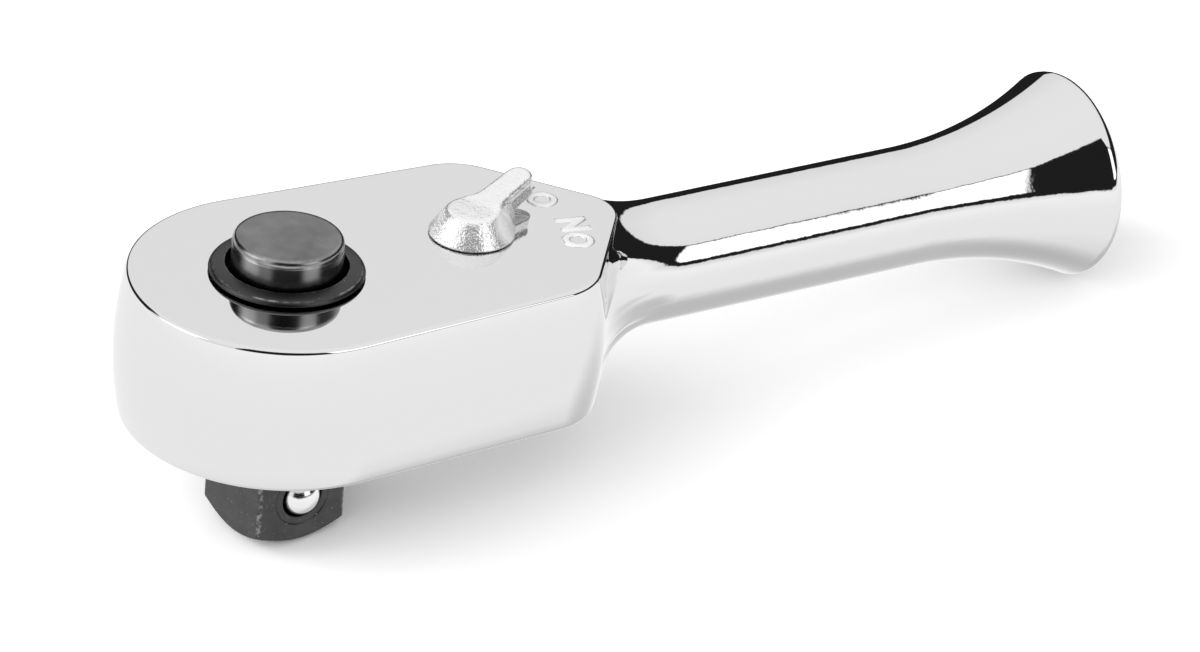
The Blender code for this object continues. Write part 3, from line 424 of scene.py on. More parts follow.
def gunmetal(look):
    # dark plated button, fine turned, paler round its rim: partly thumb wear, partly a painted highlight on
    # the rim's rounding
    material, tree, shader, coords = newMaterial(
        "gunmetalPlate", {"Metallic": 1.0, "Roughness": look["roughness"]}
    )
    smear = addNode(
        tree, "ShaderNodeTexNoise", {"Vector": coords, "Scale": 1 / (look["smearMm"] * mm), "Detail": 4.0}
    )
    tone = addNode(
        tree, "ShaderNodeMix",
        {"data_type": "RGBA", 0: smear.outputs["Fac"],
         6: hexToLinear(look["dark"]), 7: hexToLinear(look["light"])},
    )
    rub = addNode(
        tree, "ShaderNodeTexNoise", {"Vector": coords, "Scale": 1 / (look["rubMm"] * mm), "Detail": 3.0}
    )
    # the pale rim band is partly thumb wear and partly a painted highlight
    reach, height = fromDriveAxis(tree, coords)
    rim = [(reach, inMetres(look["rim"])), (height, inMetres(look["rimZ"]))]
    wear = softMask(tree, rim + [(rub.outputs["Fac"], look["rubFrom"])])
    paleMarksAndHighlight = addNode(
        tree, "ShaderNodeMix",
        {"data_type": "RGBA", 0: wear, 6: tone.outputs[2], 7: hexToLinear(look["paleMarksAndHighlight"])},
    )
    tree.links.new(paleMarksAndHighlight.outputs[2], shader.inputs["Base Color"])
    return material


collarLook = {
    "colour": "#474747", "roughness": 0.34, "grainMm": 0.25, "grainHeightMm": 0.0012,
    "paleMarksAndHighlight": "#a0a0a0", "speckMm": 0.18, "speckFrom": (0.72, 0.75), "rubMm": 0.9, "rubFrom": (0.42, 0.62),
    "edges": [(5.7, 0.09), (6.92, 0.1)],  # (radius, half width) of each upper edge that carries a painted highlight
}


def blackCollar(look):
    # blacked spring-steel ring with a fine tumbled skin and pale specks; both upper edges carry a painted
    # highlight, broken up by noise
    material, tree, shader, coords = newMaterial(
        "blackedRingSteel", {"Metallic": 1.0, "Roughness": look["roughness"]}
    )
    dust = addNode(
        tree, "ShaderNodeTexNoise", {"Vector": coords, "Scale": 1 / (look["speckMm"] * mm), "Detail": 2.0}
    )
    wear = softMask(tree, [(dust.outputs["Fac"], look["speckFrom"])])
    rub = addNode(
        tree, "ShaderNodeTexNoise", {"Vector": coords, "Scale": 1 / (look["rubMm"] * mm), "Detail": 3.0}
    )
    reach = fromDriveAxis(tree, coords)[0]
    # painted highlight along each upper edge, in the same pale colour as the specks
    for radius, width in look["edges"]:
        off = addNode(tree, "ShaderNodeMath", {"operation": "SUBTRACT", 0: reach, 1: radius * mm})
        gap = addNode(tree, "ShaderNodeMath", {"operation": "ABSOLUTE", 0: off.outputs[0]})
        edge = softMask(tree, [(gap.outputs[0], (width * mm, 0.0)), (rub.outputs["Fac"], look["rubFrom"])])
        wear = addNode(tree, "ShaderNodeMath", {"operation": "MAXIMUM", 0: wear, 1: edge}).outputs[0]
    tone = addNode(
        tree, "ShaderNodeMix",
        {"data_type": "RGBA", 0: wear, 6: hexToLinear(look["colour"]), 7: hexToLinear(look["paleMarksAndHighlight"])},
    )
    tree.links.new(tone.outputs[2], shader.inputs["Base Color"])
    grain = addNode(
        tree, "ShaderNodeTexNoise", {"Vector": coords, "Scale": 1 / (look["grainMm"] * mm), "Detail": 2.0}
    )
    bump = addNode(
        tree, "ShaderNodeBump", {"Distance": look["grainHeightMm"] * mm, "Height": grain.outputs["Fac"]}
    )
    tree.links.new(bump.outputs["Normal"], shader.inputs["Normal"])
    return material


# die-cast zinc of the lever, and the forging's raised marks, which the buffing wheel left satin
castLook = {
    "name": "platedZincCasting", "dark": "#f0f0f0", "light": "#ffffff", "metal": 0.7, "roughness": 0.22,
    "lumpMm": 0.8, "pitMm": 0.2, "pitShare": 0.7, "heightMm": 0.07,
    # the white matt patch beside the arm's root is painted light, not a finish of the casting
    "matt": "#ffffff", "paintedLightAt": (22.1, -2.4, 27.4), "paintedLightReach": (2.5, 1.5), "paintedLightMetal": 0.0,
}
reliefLook = {
    "name": "satinChromeRelief", "dark": "#f0f0f0", "light": "#ffffff", "metal": 0.5, "roughness": 0.2,
    "lumpMm": 0.8, "pitMm": 0.2, "pitShare": 0.3, "heightMm": 0.01,
}


def platedCasting(look):
    # mould skin under bright plate: satin and a little lumpy, speckled where the skin shows
    material, tree, shader, coords = newMaterial(
        look["name"], {"Metallic": look["metal"], "Roughness": look["roughness"]}
    )
    lump = addNode(
        tree, "ShaderNodeTexNoise", {"Vector": coords, "Scale": 1 / (look["lumpMm"] * mm), "Detail": 2.0}
    )
    pit = addNode(
        tree, "ShaderNodeTexNoise", {"Vector": coords, "Scale": 1 / (look["pitMm"] * mm), "Detail": 2.0}
    )
    colour = addNode(
        tree, "ShaderNodeMix",
        {"data_type": "RGBA", 0: pit.outputs["Fac"],
         6: hexToLinear(look["dark"]), 7: hexToLinear(look["light"])},
    ).outputs[2]
    skin = addNode(
        tree, "ShaderNodeMath",
        {"operation": "MULTIPLY_ADD", 0: pit.outputs["Fac"], 1: look["pitShare"], 2: lump.outputs["Fac"]},
    )
    bump = addNode(tree, "ShaderNodeBump", {"Distance": look["heightMm"] * mm, "Height": skin.outputs[0]})
    tree.links.new(bump.outputs["Normal"], shader.inputs["Normal"])
    if "paintedLightAt" in look:
        # beside the arm's root a white matt patch is painted light: it brightens that side of the dome
        away = addNode(
            tree, "ShaderNodeVectorMath", {"operation": "DISTANCE", 0: coords, 1: inMetres(look["paintedLightAt"])}
        )
        paintedLightPatch = softMask(tree, [(away.outputs["Value"], inMetres(look["paintedLightReach"]))])
        shine = addNode(
            tree, "ShaderNodeMix",
            {"data_type": "FLOAT", "Factor": paintedLightPatch, "A": look["metal"], "B": look["paintedLightMetal"]},
        )
        tree.links.new(shine.outputs[0], shader.inputs["Metallic"])
        colour = addNode(
            tree, "ShaderNodeMix", {"data_type": "RGBA", 0: paintedLightPatch, 6: colour, 7: hexToLinear(look["matt"])}
        ).outputs[2]
    tree.links.new(colour, shader.inputs["Base Color"])
    return material


steelLook = {"colour": "#f0f0f0", "roughness": (0.11, 0.22), "turnMm": 0.12}


def brightSteel(look):
    # ground bearing and spring steel: bright, its gloss a little uneven from the grinding
    material, tree, shader, coords = newMaterial(
        "groundSteel", {"Base Color": hexToLinear(look["colour"]), "Metallic": 1.0}
    )
    fine = addNode(
        tree, "ShaderNodeTexNoise", {"Vector": coords, "Scale": 1 / (look["turnMm"] * mm), "Detail": 1.0}
    )
    low, high = look["roughness"]
    rough = addNode(tree, "ShaderNodeMapRange", {"Value": fine.outputs["Fac"], "To Min": low, "To Max": high})
    tree.links.new(rough.outputs["Result"], shader.inputs["Roughness"])
    return material


rubberLook = {"colour": "#1d1d1d", "roughness": 0.6, "ior": 1.52, "grainMm": 0.1, "grainHeightMm": 0.002}


def nitrileRubber(look):
    # moulded seal rings, dull black
    material, tree, shader, coords = newMaterial(
        "nitrileRubber",
        {"Base Color": hexToLinear(look["colour"]), "Roughness": look["roughness"], "IOR": look["ior"]},
    )
    grain = addNode(tree, "ShaderNodeTexNoise", {"Vector": coords, "Scale": 1 / (look["grainMm"] * mm)})
    bump = addNode(
        tree, "ShaderNodeBump", {"Distance": look["grainHeightMm"] * mm, "Height": grain.outputs["Fac"]}
    )
    tree.links.new(bump.outputs["Normal"], shader.inputs["Normal"])
    return material


chrome = chromePlate(chromeLook)
oxide = blackOxide(oxideLook)
gunmetalSkin = gunmetal(gunmetalLook)
ringSteel = blackCollar(collarLook)
casting = platedCasting(castLook)
relief = platedCasting(reliefLook)
steel = brightSteel(steelLook)
rubber = nitrileRubber(rubberLook)
print("finishes mixed")


# scratch objects carry modifiers and come back as a bmesh
def scratchObject(name, bm):
    mesh = bpy.data.meshes.new(name)
    bm.to_mesh(mesh)
    bm.free()
    thing = bpy.data.objects.new(name, mesh)
    scene.collection.objects.link(thing)
    return thing


def bakeScratch(thing, helpers=()):
    graph = bpy.context.evaluated_depsgraph_get()
    mesh = bpy.data.meshes.new_from_object(thing.evaluated_get(graph))
    bm = bmesh.new()
    bm.from_mesh(mesh)
    bpy.data.meshes.remove(mesh)
    for old in (thing, *helpers):
        bpy.data.objects.remove(old)
    return bm


def joined(forms):
    bm = bmesh.new()
    for form in forms:
        mesh = bpy.data.meshes.new("form")
        form.to_mesh(mesh)
        form.free()
        bm.from_mesh(mesh)
        bpy.data.meshes.remove(mesh)
    return bm


def combine(bm, forms, operation):
    base = scratchObject("base", bm)
    helpers = []
    for form in forms:
        helper = scratchObject("form", form)
        step = base.modifiers.new("step", "BOOLEAN")
        step.operation = operation
        step.object = helper
        helpers.append(helper)
    return bakeScratch(base, helpers)


def makePiece(name, bm, body, node, finish, sharpDegrees=40):
    bmesh.ops.remove_doubles(bm, verts=bm.verts, dist=weld)
    bmesh.ops.recalc_face_normals(bm, faces=bm.faces)
    bmesh.ops.scale(bm, vec=(mm, mm, mm), verts=bm.verts)
    mesh = bpy.data.meshes.new(name)
    bm.to_mesh(mesh)
    bm.free()
    mesh.shade_smooth()
    mesh.set_sharp_from_angle(angle=math.radians(sharpDegrees))
    mesh.materials.append(finish)
    piece = bpy.data.objects.new(name, mesh)
    scene.collection.objects.link(piece)
    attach(piece, body)
    if node:
        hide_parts(node)
    print(name, len(mesh.polygons), "faces")
    return piece


def bevelled(bm, geom, offset, segments, affect="EDGES"):
    bmesh.ops.bevel(
        bm, geom=geom, offset=offset, offset_type="OFFSET", affect=affect, segments=segments,
        profile=0.5, material=-1,
    )


def drawTo(bm, point, place):
    point = bmesh.ops.extrude_vert_indiv(bm, verts=[point])["verts"][0]
    point.co = place
    return point


def sweep(bm, point, centre, axis, degrees, steps):
    turn = math.radians(degrees)
    made = bmesh.ops.spin(bm, geom=[point], cent=centre, axis=axis, angle=turn, steps=steps)
    return next(v for v in made["geom_last"] if isinstance(v, bmesh.types.BMVert))


def drum(radius, low, high, x=0.0, segments=96):
    bm = bmesh.new()
    place = Matrix.Translation((x, 0, (low + high) / 2))
    bmesh.ops.create_cone(
        bm, cap_ends=True, segments=segments, radius1=radius, radius2=radius, depth=high - low, matrix=place
    )
    return bm


def wrapped(circles, low, high, segments=64, flatDegrees=0.5):
    # a band drawn tight round a few discs
    bm = bmesh.new()
    for x, y, radius in circles:
        for z in (low, high):
            place = Matrix.Translation((x, y, z))
            bmesh.ops.create_circle(bm, segments=segments, radius=radius, matrix=place)
    bmesh.ops.convex_hull(bm, input=bm.verts)
    flat = math.radians(flatDegrees)
    bmesh.ops.dissolve_limit(bm, angle_limit=flat, verts=bm.verts, edges=bm.edges)
    return bm


def turnedForm(points, steps=96):
    # (radius, height) points, turned about the upright axis
    bm = bmesh.new()
    point = bm.verts.new((points[0][0], 0, points[0][1]))
    for radius, z in points[1:]:
        point = drawTo(bm, point, (radius, 0, z))
    bmesh.ops.spin(
        bm, geom=bm.verts[:] + bm.edges[:], cent=(0, 0, 0), axis=(0, 0, 1), angle=2 * math.pi, steps=steps,
        use_merge=True,
    )
    bmesh.ops.remove_doubles(bm, verts=bm.verts, dist=weld)
    bmesh.ops.recalc_face_normals(bm, faces=bm.faces)
    return bm


# forging: head, neck and handle in one skin
forging = {
    "bottom": 11.5, "top": 26.0,
    "noseRadius": 14.6, "noseSteps": 56, "sideTaper": 2.9, "cornerRadius": 6.0, "cornerSteps": 14,
    "tailAngle": 52.0, "tailRadius": 3.9, "tailX": 34.45, "tailSteps": 5, "tailWallSteps": 10,
    "belly": 0.92, "bellyDepth": 8.0, "levelStep": 0.7,
    "topRound": 0.34, "bottomRound": 0.55, "roundSteps": 6, "rimLand": 0.25,
    "neckStart": 27.5, "neckSlack": 0.2, "neckRoom": (0.9, 0.45), "neckCuts": 18, "neckRadius": (5.0, 16.0),
    "axisZ": 18.85, "gripRadius": 5.9, "neckEnd": 46.0, "gripCuts": (50, 54, 58, 62, 65),
    "flareStart": 68.0, "flareRadius": 42.5, "flareSteps": 40, "rimX": 86.75, "endRound": 1.3,
    "endSteps": 8, "endX": 88.55, "crownCuts": (0.9, 0.75, 0.55, 0.3, 0.1),
    "levelFrom": 0.9, "wallUpTo": 0.7,  # upward share of a face's normal
}


def headFace(bm, form, out):
    # half the outline from the tail's tip round to the nose, then mirrored and filled
    up = (0, 0, 1)
    z = form["top"] - form["bellyDepth"]
    tailTurn, sideTurn = 90 - form["tailAngle"], 90 - form["sideTaper"]
    tail, side = aimAt(tailTurn, 0), aimAt(sideTurn, 0)
    tailCentre = Vector((form["tailX"] - form["tailRadius"], 0, z))
    # the corner's centre lies one corner radius inside both walls
    sideLine = form["noseRadius"] - form["cornerRadius"]
    tailLine = tail.x * tailCentre.x + form["tailRadius"] - form["cornerRadius"]
    spread = side.x * tail.y - side.y * tail.x
    cornerX = (sideLine * tail.y - side.y * tailLine) / spread
    cornerY = (side.x * tailLine - sideLine * tail.x) / spread
    corner = Vector((cornerX, cornerY, z))
    point = bm.verts.new((form["tailX"] + out, 0, z))
    point = sweep(bm, point, tailCentre, up, tailTurn, form["tailSteps"])
    start = point.co.copy()
    tailWall = tail.x * tailCentre.x + form["tailRadius"]
    neckY = (tailWall - tail.x * form["neckStart"]) / tail.y
    neckStart = Vector((form["neckStart"], neckY, z)) + tail * out
    for i in range(1, form["tailWallSteps"] + 1):
        point = drawTo(bm, point, start.lerp(neckStart, i / form["tailWallSteps"]))
    point = drawTo(bm, point, corner + tail * (form["cornerRadius"] + out))
    point = sweep(bm, point, corner, up, sideTurn - tailTurn, form["cornerSteps"])
    point = drawTo(bm, point, Vector((0, 0, z)) + side * (form["noseRadius"] + out))
    sweep(bm, point, (0, 0, z), up, 180 - sideTurn, form["noseSteps"])
    half = bm.verts[:] + bm.edges[:]
    bmesh.ops.mirror(bm, geom=half, axis="Y", merge_dist=weld)
    bmesh.ops.remove_doubles(bm, verts=bm.verts, dist=10 * weld)
    return bmesh.ops.contextual_create(bm, geom=bm.edges[:])["faces"][0]


def bellyAt(form, depth):
    # how far the wall bulges past the top outline
    share = (depth - form["bellyDepth"]) / form["bellyDepth"]
    return form["belly"] * (1 - share * share)


def wallLevels(form, start, end, edge):
    # (depth under the top face, offset from the top outline): the bellied wall, then its rounded edge
    levels = []
    steps = round(abs(end - start) / form["levelStep"])
    for i in range(steps + 1):
        depth = start + (end - start) * i / steps
        levels.append((depth, bellyAt(form, depth)))
    depth, wall = levels[-1]
    lean = math.atan(2 * form["belly"] * abs(depth - form["bellyDepth"]) / form["bellyDepth"] ** 2)
    radius = edge / (1 - math.sin(lean))
    way = 1 if end > start else -1
    for i in range(1, form["roundSteps"] + 1):
        turn = lean + (math.pi / 2 - lean) * i / form["roundSteps"]
        out = wall - radius * (math.cos(lean) - math.cos(turn))
        levels.append((depth + way * radius * (math.sin(turn) - math.sin(lean)), out))
    levels.append((levels[-1][0], levels[-1][1] - form["rimLand"]))
    return levels


def stepWall(bm, face, levels):
    for (depthA, outA), (depthB, outB) in zip(levels, levels[1:]):
        bmesh.ops.inset_region(
            bm, faces=[face], thickness=outA - outB, depth=abs(depthB - depthA), use_even_offset=True
        )


def growRing(bm, edges):
    made = bmesh.ops.extrude_edge_only(bm, edges=edges)["geom"]
    verts = [part for part in made if isinstance(part, bmesh.types.BMVert)]
    return verts, [part for part in made if isinstance(part, bmesh.types.BMEdge) and part.is_boundary]


def setRound(v, x, reach, axisZ):
    out = Vector((0, v.co.y, v.co.z - axisZ)).normalized() * reach
    v.co = (x, out.y, out.z + axisZ)


def gripStations(form):
    # (place along the handle, radius): straight grip, flare, rounded rim and a low dome on the end
    grip, flare, end = form["gripRadius"], form["flareRadius"], form["endRound"]
    stations = [(x, grip) for x in (form["neckEnd"], *form["gripCuts"], form["flareStart"])]
    flareTurn = math.asin((form["rimX"] - form["flareStart"]) / flare)
    for i in range(1, form["flareSteps"] + 1):
        turn = flareTurn * i / form["flareSteps"]
        rise = flare * (1 - math.cos(turn))
        stations.append((form["flareStart"] + flare * math.sin(turn), grip + rise))
    rim = stations[-1][1] - end
    for i in range(1, form["endSteps"] + 1):
        turn = math.pi / 2 * i / form["endSteps"]
        stations.append((form["rimX"] + end * math.sin(turn), rim + end * math.cos(turn)))
    crown = form["endX"] - form["rimX"] - end
    for share in form["crownCuts"]:
        stations.append((form["endX"] - crown * share * share, rim * share))
    return stations


def makeForging(form):
    bm = bmesh.new()
    face = headFace(bm, form, form["belly"])
    if face.normal.z < 0:
        bmesh.ops.reverse_faces(bm, faces=[face])
    twin = bmesh.ops.extrude_face_region(bm, geom=[face], use_keep_orig=True)["geom"]
    upper = next(f for f in twin if isinstance(f, bmesh.types.BMFace))
    step = form["levelStep"]
    bmesh.ops.translate(bm, vec=(0, 0, step), verts=upper.verts)
    level = [f for f in bm.faces if abs(f.normal.z) > form["levelFrom"]]
    lower = min(level, key=lambda f: f.calc_center_median().z)
    if lower.normal.z > 0:
        bmesh.ops.reverse_faces(bm, faces=[lower])

    # from the belly's widest line the wall runs up and down to its two rounded edges
    widest, topRound, bottomRound = form["bellyDepth"], form["topRound"], form["bottomRound"]
    height = form["top"] - form["bottom"]
    stepWall(bm, upper, wallLevels(form, widest - step, topRound, topRound))
    stepWall(bm, lower, wallLevels(form, widest, height - bottomRound, bottomRound))

    # open the tail wall for the neck
    lowZ, highZ = form["bottom"] + form["neckRoom"][0], form["top"] - form["neckRoom"][1]
    nearX = form["neckStart"] - form["neckSlack"]
    opened = []
    for f in bm.faces:
        centre = f.calc_center_median()
        if lowZ < centre.z < highZ and centre.x > nearX and abs(f.normal.z) < form["wallUpTo"]:
            opened.append(f)
    bmesh.ops.delete(bm, geom=opened, context="FACES")

    # neck: each line runs from the opening's edge down a concave arc, tighter underneath, into the grip
    z, grip = form["axisZ"], form["gripRadius"]
    under, over = form["neckRadius"]
    notes = ("startX", "startOut", "bend")
    startX, startOut, bend = (bm.verts.layers.float.new(name) for name in notes)
    edges = [e for e in bm.edges if e.is_boundary]
    for v in {v for e in edges for v in e.verts}:
        v[startX] = v.co.x
        reach = math.hypot(v.co.y, v.co.z - z)
        v[startOut] = max(reach - grip, 0)
        v[bend] = under + (over - under) * min(1 + (v.co.z - z) / reach, 1)
    for i in range(form["neckCuts"] - 1, -1, -1):
        verts, edges = growRing(bm, edges)
        for v in verts:
            full = math.acos(1 - v[startOut] / v[bend])
            tilt = full * i / form["neckCuts"]
            place = v[startX] + v[bend] * (math.sin(full) - math.sin(tilt))
            setRound(v, place, grip + v[bend] * (1 - math.cos(tilt)), z)
    for x, reach in gripStations(form):
        verts, edges = growRing(bm, edges)
        for v in verts:
            setRound(v, x, reach, z)
    bmesh.ops.contextual_create(bm, geom=edges)
    for name in notes:
        bm.verts.layers.float.remove(bm.verts.layers.float[name])
    return bm


# room for the works, cut from below and from above: discs are (x, y, radius), drums (radius, low, high)
works = {
    "cover": [(0, 0, 13.55), (23.5, 6.5, 3.65), (23.5, -6.5, 3.65)], "coverRoom": (10.5, 13.625),
    "pawl": [(19.3, 0, 6.7), (5.942, 10.291, 2.583), (5.942, -10.291, 2.583)], "pawlRoom": (11.2, 22.8),
    "gear": (10.5, 11.0, 22.8), "hub": (6.88, 21.8, 27.0), "hubGroove": (7.68, 23.9, 24.9),
    "lever": (3.08, 21.8, 27.0), "clip": (4.6, 22.3, 23.9), "leverX": 19.3,
}


def boreForging(bm, room):
    cutters = [
        wrapped(room["cover"], *room["coverRoom"]),
        wrapped(room["pawl"], *room["pawlRoom"]),
        drum(*room["gear"]),
        drum(*room["hub"]),
        drum(*room["hubGroove"]),
        drum(*room["lever"], x=room["leverX"]),
        drum(*room["clip"], x=room["leverX"]),
    ]
    return combine(bm, cutters, "DIFFERENCE")


bored = boreForging(makeForging(forging), works)
makePiece("forgedBody", bored, "body", "ratchet_body", chrome)


# quick-release button: a turned cap with a flange that the collar holds down
button = {
    "steps": 128, "sharp": 30,
    "top": [
        (0, 29.85), (2.6, 29.85), (3.6, 29.835), (4.2, 29.81), (4.55, 29.775), (4.75, 29.725),
        (4.88, 29.65), (4.98, 29.55), (5.06, 29.41), (5.105, 29.24), (5.115, 29.1), (5.115, 29.0),
    ],
    "side": [(5.15, 28.96), (5.15, 24.75)],
    "flange": [(5.95, 24.75), (5.95, 23.95)],
    "socket": [(1.98, 23.95), (1.98, 26.95), (0, 26.95)],
}
cap = turnedForm(button["top"] + button["side"] + button["flange"] + button["socket"], button["steps"])
makePiece("releaseButton", cap, "button", "release_button", gunmetalSkin, button["sharp"])


# coil under the button, which the button presses towards its seat; it is wound at one length, between the
# ends of the release spring's solid
spring = {
    "coil": 3.4, "wire": 0.35, "wireSides": 16, "turns": 4.5, "turnSteps": 40, "sharp": 60, "travel": 2.0,
}
springLow, springHigh = (corner[2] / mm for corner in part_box("release_spring"))


def makeSpring(form):
    bm = bmesh.new()
    start = Matrix.Translation((form["coil"], 0, springLow + form["wire"]))
    upright = Matrix.Rotation(math.pi / 2, 4, "X")
    bmesh.ops.create_circle(bm, segments=form["wireSides"], radius=form["wire"], matrix=start @ upright)
    steps = round(form["turns"] * form["turnSteps"])
    rise = (springHigh - springLow - 2 * form["wire"]) / steps
    ends = [bm.edges[:]]
    made = bmesh.ops.spin(
        bm, geom=bm.verts[:] + bm.edges[:], cent=(0, 0, 0), axis=(0, 0, 1), dvec=(0, 0, rise),
        angle=form["turns"] * 2 * math.pi, steps=steps,
    )
    ends.append([part for part in made["geom_last"] if isinstance(part, bmesh.types.BMEdge)])
    for ring in ends:
        bmesh.ops.contextual_create(bm, geom=ring)
    return bm


wound = makeSpring(spring)
coil = makePiece("releaseSpring", wound, "drive", "release_spring", steel, spring["sharp"])
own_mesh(coil)


# collar round the button, with a soft outer shoulder and a skirt pressed into the hub
collar = {
    "steps": 128, "sharp": 35,
    "top": [
        (5.62, 26.8), (5.65, 26.89), (5.72, 26.95), (5.86, 26.93), (6.7, 26.77), (6.84, 26.73),
        (6.95, 26.67), (7.04, 26.59), (7.13, 26.47), (7.18, 26.38), (7.2, 26.3),
    ],
    "base": [(7.2, 26.29), (7.16, 26.25)],
    "skirt": [(5.97, 26.25), (5.97, 25.05), (5.62, 25.05), (5.62, 26.8)],
}
ring = turnedForm(collar["top"] + collar["base"] + collar["skirt"], collar["steps"])
makePiece("buttonCollar", ring, "drive", "button_collar", ringSteel, collar["sharp"])


# drive: square, shoulder, toothed ring and hub, bored for the release
drive = {
    "turn": 5.0, "side": 9.525, "corner": 0.4, "cornerSteps": 6, "squareTop": 11.6, "blankTop": 13,
    "endRadius": 4.65, "endSlope": 30.0, "sharp": 25,
    "shoulder": (6.9, 11.1, 15.1), "hub": (6.8, 22.0, 25.9),
    "teeth": 36, "tip": 10.135, "root": 8.965, "land": 0.184, "gear": (14.6, 22.5),
    "bore": [
        (0, 26.9), (6.03, 26.9), (6.03, 21.35), (4.0, 21.35), (4.0, 17.35), (1.98, 17.35),
        (1.98, 1.2), (0, 1.2),
    ],
    "ballBore": [
        (0, 5.763), (3.2, 5.763), (2.2, 4.763), (2.14, 4.69), (2.14, 4.1), (2.05, 3.95), (2.05, 0), (0, 0),
    ],
    "stakeRing": [(2.74, 4.79), (2.86, 4.7), (2.98, 4.79), (2.86, 4.9), (2.74, 4.79)],
    "ballZ": 4.5, "ballReach": 4.11, "ballRadius": 1.95, "ballSteps": 64,
}


def makeDrive(form):
    square = bmesh.new()
    size = Matrix.Diagonal((form["side"], form["side"], form["squareTop"], 1))
    bmesh.ops.create_cube(square, size=1, matrix=Matrix.Translation((0, 0, form["squareTop"] / 2)) @ size)
    uprights = [e for e in square.edges if abs(e.verts[0].co.z - e.verts[1].co.z) > weld]
    bevelled(square, uprights, form["corner"], form["cornerSteps"])
    # the end is turned down on a lathe, so the square is cut by a coned blank
    wide, end, top = form["side"], form["endRadius"], form["blankTop"]
    rise = (wide - end) * math.tan(math.radians(form["endSlope"]))
    blank = turnedForm([(0, top), (wide, top), (wide, rise), (end, 0), (0, 0)])
    square = combine(square, [blank], "INTERSECT")

    # toothed ring: every other point of a circle is drawn in to a root
    gear = bmesh.new()
    low, high = form["gear"]
    place = Matrix.Translation((0, 0, low))
    bmesh.ops.create_circle(
        gear, cap_ends=True, segments=2 * form["teeth"], radius=form["tip"], matrix=place
    )
    pitch = 360 / form["teeth"]
    turns = {v: math.degrees(math.atan2(v.co.y, v.co.x)) for v in gear.verts}
    roots = [v for v, turn in turns.items() if abs((turn + pitch / 2) % pitch - pitch / 2) < pitch / 4]
    inward = form["root"] / form["tip"]
    bmesh.ops.scale(gear, vec=(inward, inward, 1), verts=roots)
    bevelled(gear, gear.verts[:], form["land"], 1, "VERTICES")
    grown = bmesh.ops.extrude_face_region(gear, geom=gear.faces[:], use_keep_orig=True)["geom"]
    raised = [v for v in grown if isinstance(v, bmesh.types.BMVert)]
    bmesh.ops.translate(gear, vec=(0, 0, high - low), verts=raised)
    bmesh.ops.recalc_face_normals(gear, faces=gear.faces)

    bm = combine(gear, [drum(*form["shoulder"]), drum(*form["hub"]), square], "UNION")
    cutters = [turnedForm(form["bore"])]
    for name in ("ballBore", "stakeRing"):
        cutter = turnedForm(form[name], form["ballSteps"])
        turnForm(cutter, 90, "X")
        moveForm(cutter, (0, 0, form["ballZ"]))
        cutters.append(cutter)
    bm = combine(bm, cutters, "DIFFERENCE")
    turnForm(bm, form["turn"], "Z")
    return bm


def makeBall(form):
    bm = bmesh.new()
    steps = form["ballSteps"]
    bmesh.ops.create_uvsphere(bm, u_segments=steps, v_segments=steps // 2, radius=form["ballRadius"])
    moveForm(bm, (0, -form["ballReach"], form["ballZ"]))
    turnForm(bm, form["turn"], "Z")
    return bm


makePiece("driveGear", makeDrive(drive), "drive", "drive_gear", oxide, drive["sharp"])
makePiece("detentBall", makeBall(drive), "ball", "detent_ball", steel)


# reversing lever: a coned dome that runs out into a thumb arm, cast in one with its shaft
lever = {
    "x": 19.3, "turn": 26.6,
    "dome": [
        (0, 28.6), (2.2, 28.56), (2.48, 28.45), (2.68, 28.24), (2.95, 27.88), (3.3, 27.38),
        (3.65, 26.84), (3.95, 26.36), (4.06, 26.2), (4.08, 26.12), (4.04, 26.1), (0, 26.1),
    ],
    "shoulders": [(1.5, 0.8), (2.6, 0.65), (3.6, 0.52)],  # (place, share) of slimmer domes under the arm
    "plan": [
        (7.8, -1.34), (4.3, -1.45), (3.4, -1.52), (2.7, -1.75), (2.1, -2.15), (1.2, -2.45), (0, -2.45),
        (0, 2.45), (1.2, 2.45), (2.1, 2.15), (2.7, 1.75), (3.4, 1.52), (4.3, 1.45), (7.8, 1.34),
    ],
    "tipSteps": 20, "thick": 2.3, "pitch": 7.0, "armBase": 26.12,
    "armEdge": 0.55, "footEdge": 0.15, "edgeSteps": 5, "seam": 0.16, "seamSteps": 2,
    "voxel": 0.08, "relax": 0.5, "smoothing": 10, "sharp": 60,
    "shaft": [
        (0, 26.6), (3.0, 26.6), (3.0, 25.1), (2.3, 25.1), (2.3, 24.1), (3.0, 24.1), (3.0, 23.7),
        (2.3, 23.7), (2.3, 23.0), (3.0, 23.0), (3.0, 13.8), (0, 13.8),
    ],
    "detent": (1.1, -0.5, 4.1), "detentZ": 18.15,
}


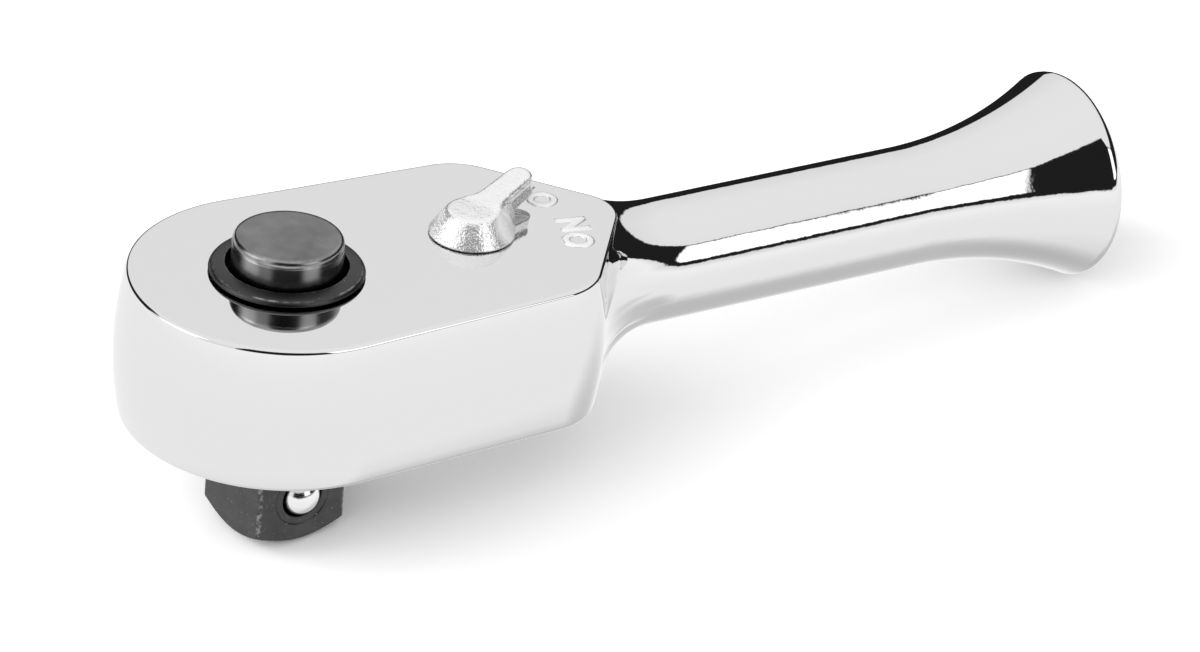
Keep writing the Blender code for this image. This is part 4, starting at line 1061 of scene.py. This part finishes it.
def makeLever(form):
    domes = [turnedForm(form["dome"])]
    for x, share in form["shoulders"]:
        shoulder = turnedForm([(radius * share, z) for radius, z in form["dome"]])
        moveForm(shoulder, (x, 0, 0))
        domes.append(shoulder)

    # thumb arm: its plan is raised in two halves with the mould's seam between them
    arm = bmesh.new()
    point = arm.verts.new((*form["plan"][0], 0))
    for x, y in form["plan"][1:]:
        point = drawTo(arm, point, (x, y, 0))
    sweep(arm, point, (form["plan"][-1][0], 0, 0), (0, 0, -1), 180, form["tipSteps"])
    bmesh.ops.remove_doubles(arm, verts=arm.verts, dist=10 * weld)
    plan = bmesh.ops.contextual_create(arm, geom=arm.edges[:])["faces"]
    half = form["thick"] / 2
    for i in range(2):
        made = bmesh.ops.extrude_face_region(arm, geom=plan, use_keep_orig=i == 0)["geom"]
        plan = [f for f in made if isinstance(f, bmesh.types.BMFace)]
        bmesh.ops.translate(arm, vec=(0, 0, half), verts=plan[0].verts)
    bmesh.ops.recalc_face_normals(arm, faces=arm.faces)
    for z, edge in ((0, form["footEdge"]), (form["thick"], form["armEdge"])):
        rim = [e for e in arm.edges if all(abs(v.co.z - z) < weld for v in e.verts)]
        bevelled(arm, rim, edge, form["edgeSteps"])
    middle = [e for e in arm.edges if all(abs(v.co.z - half) < weld for v in e.verts)]
    bevelled(arm, middle, form["seam"], form["seamSteps"])
    for v in arm.verts:
        if abs(v.co.z - half) < weld:
            v.co -= v.normal * form["seam"]
    turnForm(arm, -form["pitch"], "Y")
    moveForm(arm, (0, 0, form["armBase"]))
    bmesh.ops.recalc_face_normals(arm, faces=arm.faces)

    # one fine voxel skin over both, smoothed so that the arm flows out of the dome
    cast = scratchObject("cast", joined(domes + [arm]))
    skin = cast.modifiers.new("skin", "REMESH")
    skin.mode = "VOXEL"
    skin.voxel_size = form["voxel"]
    relax = cast.modifiers.new("relax", "SMOOTH")
    relax.factor = form["relax"]
    relax.iterations = form["smoothing"]
    handle = bakeScratch(cast)

    # shaft with its grooves and the cross hole for the detent
    hole = drum(*form["detent"])
    turnForm(hole, 90, "Y")
    moveForm(hole, (0, 0, form["detentZ"]))
    shaft = combine(turnedForm(form["shaft"]), [hole], "DIFFERENCE")
    bm = joined([handle, shaft])
    turnForm(bm, form["turn"], "Z")
    moveForm(bm, (form["x"], 0, 0))
    return bm


moulded = makeLever(lever)
makePiece("reversingLever", moulded, "lever", "reversing_lever", casting, lever["sharp"])


# raised ON and OFF beside the lever, each letter at its place round the lever's axis, in degrees
marks = {
    "x": 19.3, "z": 25.76, "circle": 10.1, "sharp": 50,
    "letters": [("O", -30.0), ("N", -12.5), ("O", 18.6), ("F", 32.6), ("F", 45.2)],
    "height": 2.6, "capShare": 0.7, "stretch": 0.9, "stroke": 0.4, "strokeSteps": 4, "thin": -0.06,
}


def makeMarks(form):
    letters = []
    for sign, angle in form["letters"]:
        text = bpy.data.curves.new("mark", "FONT")
        text.body = sign
        text.size = form["height"] / form["capShare"]
        text.offset = form["thin"]
        text.bevel_depth = form["stroke"]
        text.bevel_resolution = form["strokeSteps"]
        text.align_x = "CENTER"
        text.align_y = "CENTER"
        holder = bpy.data.objects.new("mark", text)
        scene.collection.objects.link(holder)
        letter = bakeScratch(holder)
        around = math.radians(angle)
        turn = Matrix.Rotation(around + math.pi / 2, 4, "Z") @ Matrix.Diagonal((form["stretch"], 1, 1, 1))
        place = (form["x"] + form["circle"] * math.cos(around), form["circle"] * math.sin(around), form["z"])
        bmesh.ops.transform(letter, matrix=Matrix.Translation(place) @ turn, verts=letter.verts)
        letters.append(letter)
    return joined(letters)


makePiece("switchMarks", makeMarks(marks), "body", None, relief, marks["sharp"])

# works that stay as the solids they are
finishes = {
    "cover_plate": chrome,
    "cover_screw_1": steel, "cover_screw_2": steel, "cover_screw_3": steel, "cover_screw_4": steel,
    "gear_shim": steel, "release_stem": steel, "lever_detent_ball": steel,
    "lever_detent_spring": steel, "lever_clip": steel, "pawl": steel,
    "hub_seal": rubber, "drive_seal": rubber, "lever_seal": rubber,
}
for name, finish in finishes.items():
    for slot in bpy.data.objects[name].material_slots:
        slot.material = finish
